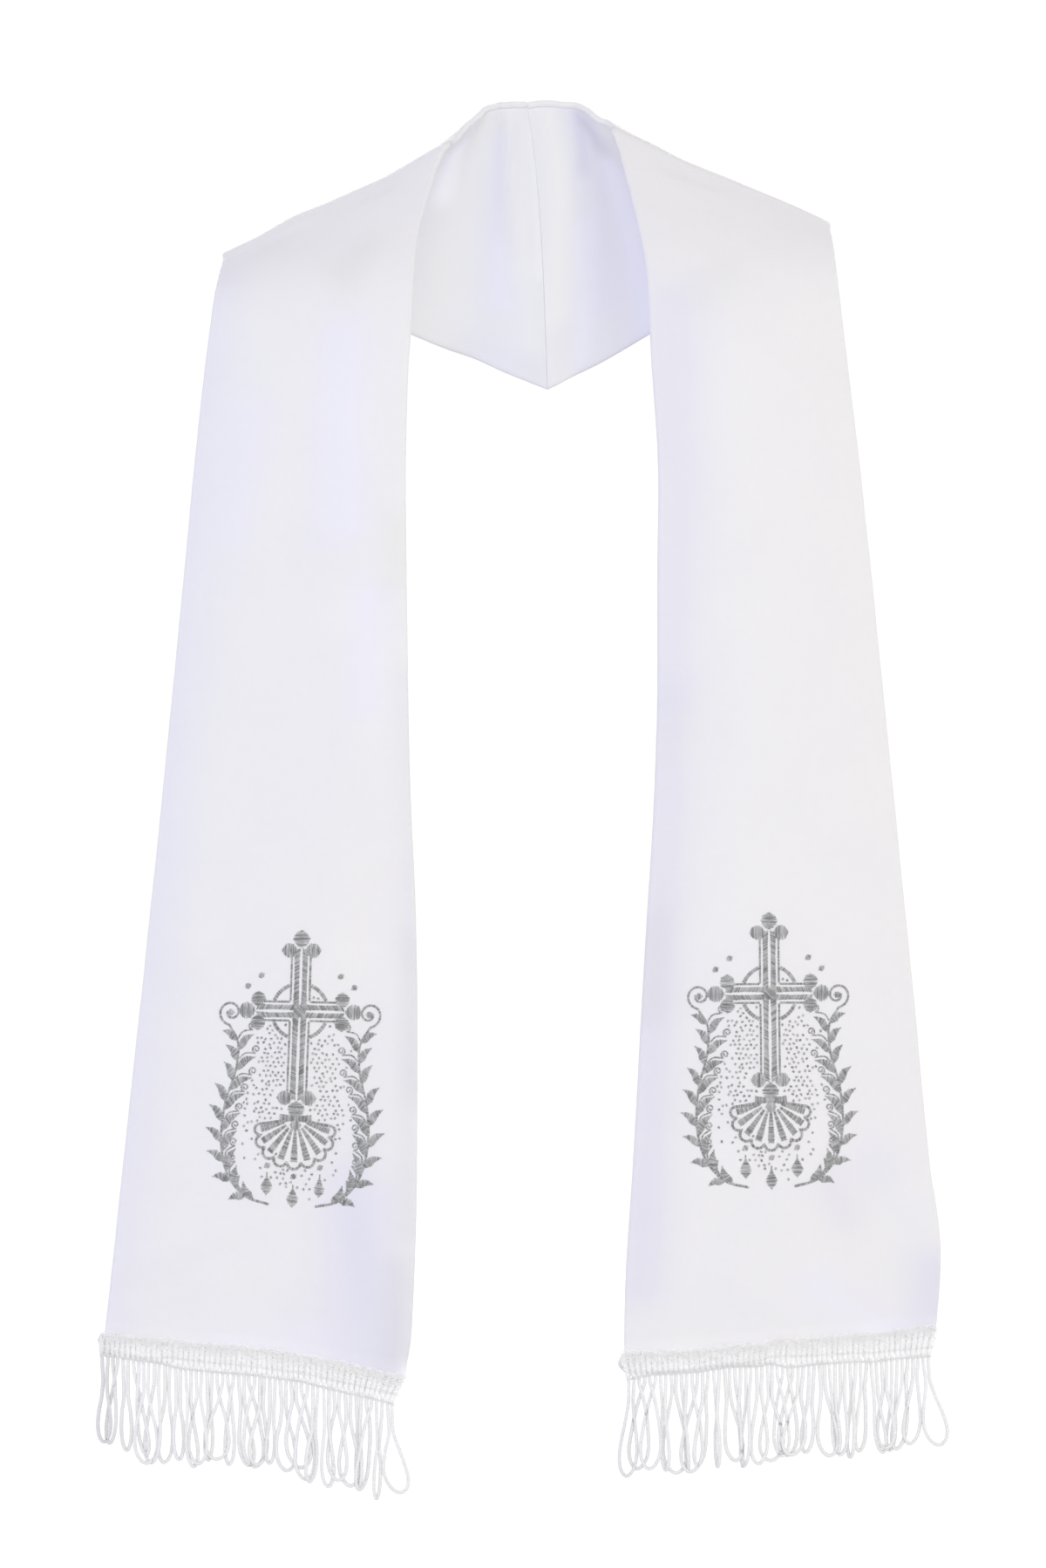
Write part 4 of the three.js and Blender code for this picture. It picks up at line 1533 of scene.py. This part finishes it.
def sprayStrokes(mirror):
    c = sprayShape
    step = motif["step"]
    flip = np.array([mirror, 1.0])
    stem = curveThrough(c["stem"], step)
    made = [stroke(stem * flip, lambda share: motif["line"] * (1.05 - 0.2 * share))]
    curl = c["curl"]
    turns = np.linspace(curl["start"], curl["start"] + curl["turns"] * 360, 60)
    spiral = circling(curl["centre"], np.linspace(curl["from"], curl["to"], 60), turns)
    made.append(stroke(np.vstack([stem[-1:], spiral[4:]]) * flip, motif["line"] * 0.95))
    made.append(disc(np.array(curl["centre"]) * flip, 1.2, lift=0.1))
    stemLength = (len(stem) - 1) * step
    for place in np.arange(c["leafStart"], stemLength - 3, c["leafEvery"]):
        for side in (-1, 1):
            here = int((place + (0 if side > 0 else c["leafEvery"] * c["leafStagger"])) / step)
            if here >= len(stem) - 4:
                continue
            run = unit(stem[here + 1] - stem[here - 1])
            size = c["leafLength"] * (0.78 + 0.3 * math.sin(math.pi * place / stemLength))
            size *= c["outerLeaf"] if side < 0 else 1
            ahead, aside = pointing(math.radians(c["leafTurn"]) * side)
            lead = np.array([run[0] * ahead - run[1] * aside, run[0] * aside + run[1] * ahead])
            start = stem[here] + lead * 0.9
            bend = np.array([-lead[1], lead[0]]) * -side * size * c["leafBend"]
            line = curveThrough([start, start + lead * size * 0.5 + bend, start + lead * size], step)
            widths = lens(c["leafWidth"], c["leafFullest"])
            made.append(stroke(line * flip, widths, c["leafSlant"] * side * mirror, lift=0.04))
            if side > 0 and here + 10 < len(stem) - 10:
                made.append(tendril(stem[here + 10], run, flip))
    return made


def tendril(start, run, flip):
    # a fine curl that springs from the stem towards the cross
    c = sprayShape["tendril"]
    side = np.array([-run[1], run[0]])
    centre = start + side * c["inwards"] + run * c["ahead"]
    turns = np.linspace(0, c["turns"] * 2 * math.pi, 30)
    radii = c["size"] * (1 - 0.72 * turns / turns[-1])
    curl = centre + radii[:, None] * (-np.cos(turns)[:, None] * run + np.sin(turns)[:, None] * -side)
    points = [start + side * 0.7, start * 0.6 + centre * 0.4 + run * 0.5, *curl]
    return stroke(curveThrough(points, motif["step"]) * flip, c["width"], lift=0.02)


def groundSeeds(strokes):
    # little doubled stitches scattered evenly between the motifs, thinning out away from the cross
    g = groundShape
    chance = np.random.default_rng(g["seed"])
    edges = np.concatenate([np.column_stack([s["line"], s["width"] / 2]) for s in strokes])
    reachX, reachY = g["reach"]
    most, power = g["thinning"]
    made = []
    for row, y in enumerate(np.arange(-reachY, reachY, g["pitch"] * g["rowShare"])):
        for x in np.arange(-reachX, reachX, g["pitch"]) + (row % 2) * g["pitch"] / 2:
            place = np.array(g["centre"]) + (x, y) + chance.uniform(-1, 1, 2) * g["jitter"]
            turn, luck = chance.uniform(0, math.pi), chance.random()
            far = (abs(x) / reachX) ** power + (abs(y) / reachY) ** power
            gap = np.hypot(edges[:, 0] - place[0], edges[:, 1] - place[1]) - edges[:, 2]
            if luck < most - far and gap.min() > g["clear"]:
                half = pointing(turn) * g["length"] / 2
                made.append(stroke([place - half, place + half], g["width"]))
    return made


def motifStrokes():
    made = crossStrokes() + shellStrokes() + dropStrokes() + sprayStrokes(1) + sprayStrokes(-1)
    for x, y in seedDots:
        for mirror in (-1, 1) if x else (1,):
            made.append(disc((x * mirror, y), dotRadius, turn=0.6, lift=0.05))
    return made + groundSeeds(made)


def stitchPaths(half, strokes):
    alongCentre, acrossCentre = motif["centre"][half["label"]]
    paths = []
    for s in strokes:
        x, y = s["line"].T
        along = alongCentre - y
        across = acrossCentre + half["side"] * x / widthAt(half, along)
        paths.append({
            "points": onCloth(half, along, across, np.full(len(x), faceTop + s["lift"])),
            "clothNormal": clothNormal(half, along, across),
            "columnWidth": s["width"] * mm,
            "slant": np.full(len(x), math.radians(s["slant"])),
        })
    return paths


def stitchTree():
    tree, given, result = newTree("satinStitch", [
        ("Spacing", "Float", 0.0004),
        ("Thread", "Float", 0.00035),
        ("Raised", "Float", 0.0003),
        ("Sunk", "Float", 0.0001),
        ("Seed", "Int", 1),
    ])
    seed = given["Seed"]
    sunk = mathNode(tree, "MULTIPLY", given["Sunk"], -1.0)
    strand = outputOf(tree, "GeometryNodeCurveQuadraticBezier", {
        "Resolution": 3,
        "Start": vectorOf(tree, Y=-0.5, Z=sunk),
        "Middle": vectorOf(tree, Z=mathNode(tree, "MULTIPLY", given["Raised"], 2.0)),
        "End": vectorOf(tree, Y=0.5, Z=sunk),
    })
    most = motif["slantUneven"]
    slanted = mathNode(tree, "ADD", named(tree, "slant"), chanceNode(tree, -most, most, seed))
    turn = outputOf(tree, "FunctionNodeEulerToRotation", {"Euler": vectorOf(tree, Z=slanted)})
    feeds = {"Rotation": standing(tree), "Rotate By": turn}
    uneven = chanceNode(tree, *motif["widthUneven"], mathNode(tree, "ADD", seed, 1.0))
    wide = mathNode(tree, "MULTIPLY", named(tree, "columnWidth"), uneven)
    spread = outputOf(tree, "GeometryNodeInstanceOnPoints", {
        "Points": pathCurve(tree, given, given["Spacing"]),
        "Instance": threadOn(tree, strand, mathNode(tree, "MULTIPLY", given["Thread"], 0.5), 4, True),
        "Rotation": outputOf(tree, "FunctionNodeRotateRotation", feeds, rotation_space="LOCAL"),
        "Scale": vectorOf(tree, X=1.0, Y=wide, Z=1.0),
    })
    glint = chanceNode(tree, 0.0, 1.0, mathNode(tree, "ADD", seed, 2.0))
    return finished(tree, kept(tree, spread, "glint", glint, "INSTANCE"), given, result)


stitchGrower = stitchTree()
motifLines = motifStrokes()
for half in halves:
    label = half["label"]
    piece = growPiece(label + "_embroidery", stitchPaths(half, motifLines), stitchGrower, {
        "Spacing": motif["spacing"] * mm,
        "Thread": motif["thread"] * mm,
        "Raised": motif["raised"] * mm,
        "Sunk": motif["sunk"] * mm,
        "Seed": half["seed"],
    }, silver)
    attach(piece, "root")
    print(label, "embroidery:", len(piece.data.polygons), "faces")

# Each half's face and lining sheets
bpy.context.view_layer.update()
for label in ("left", "right"):
    face, back = sheets[label]
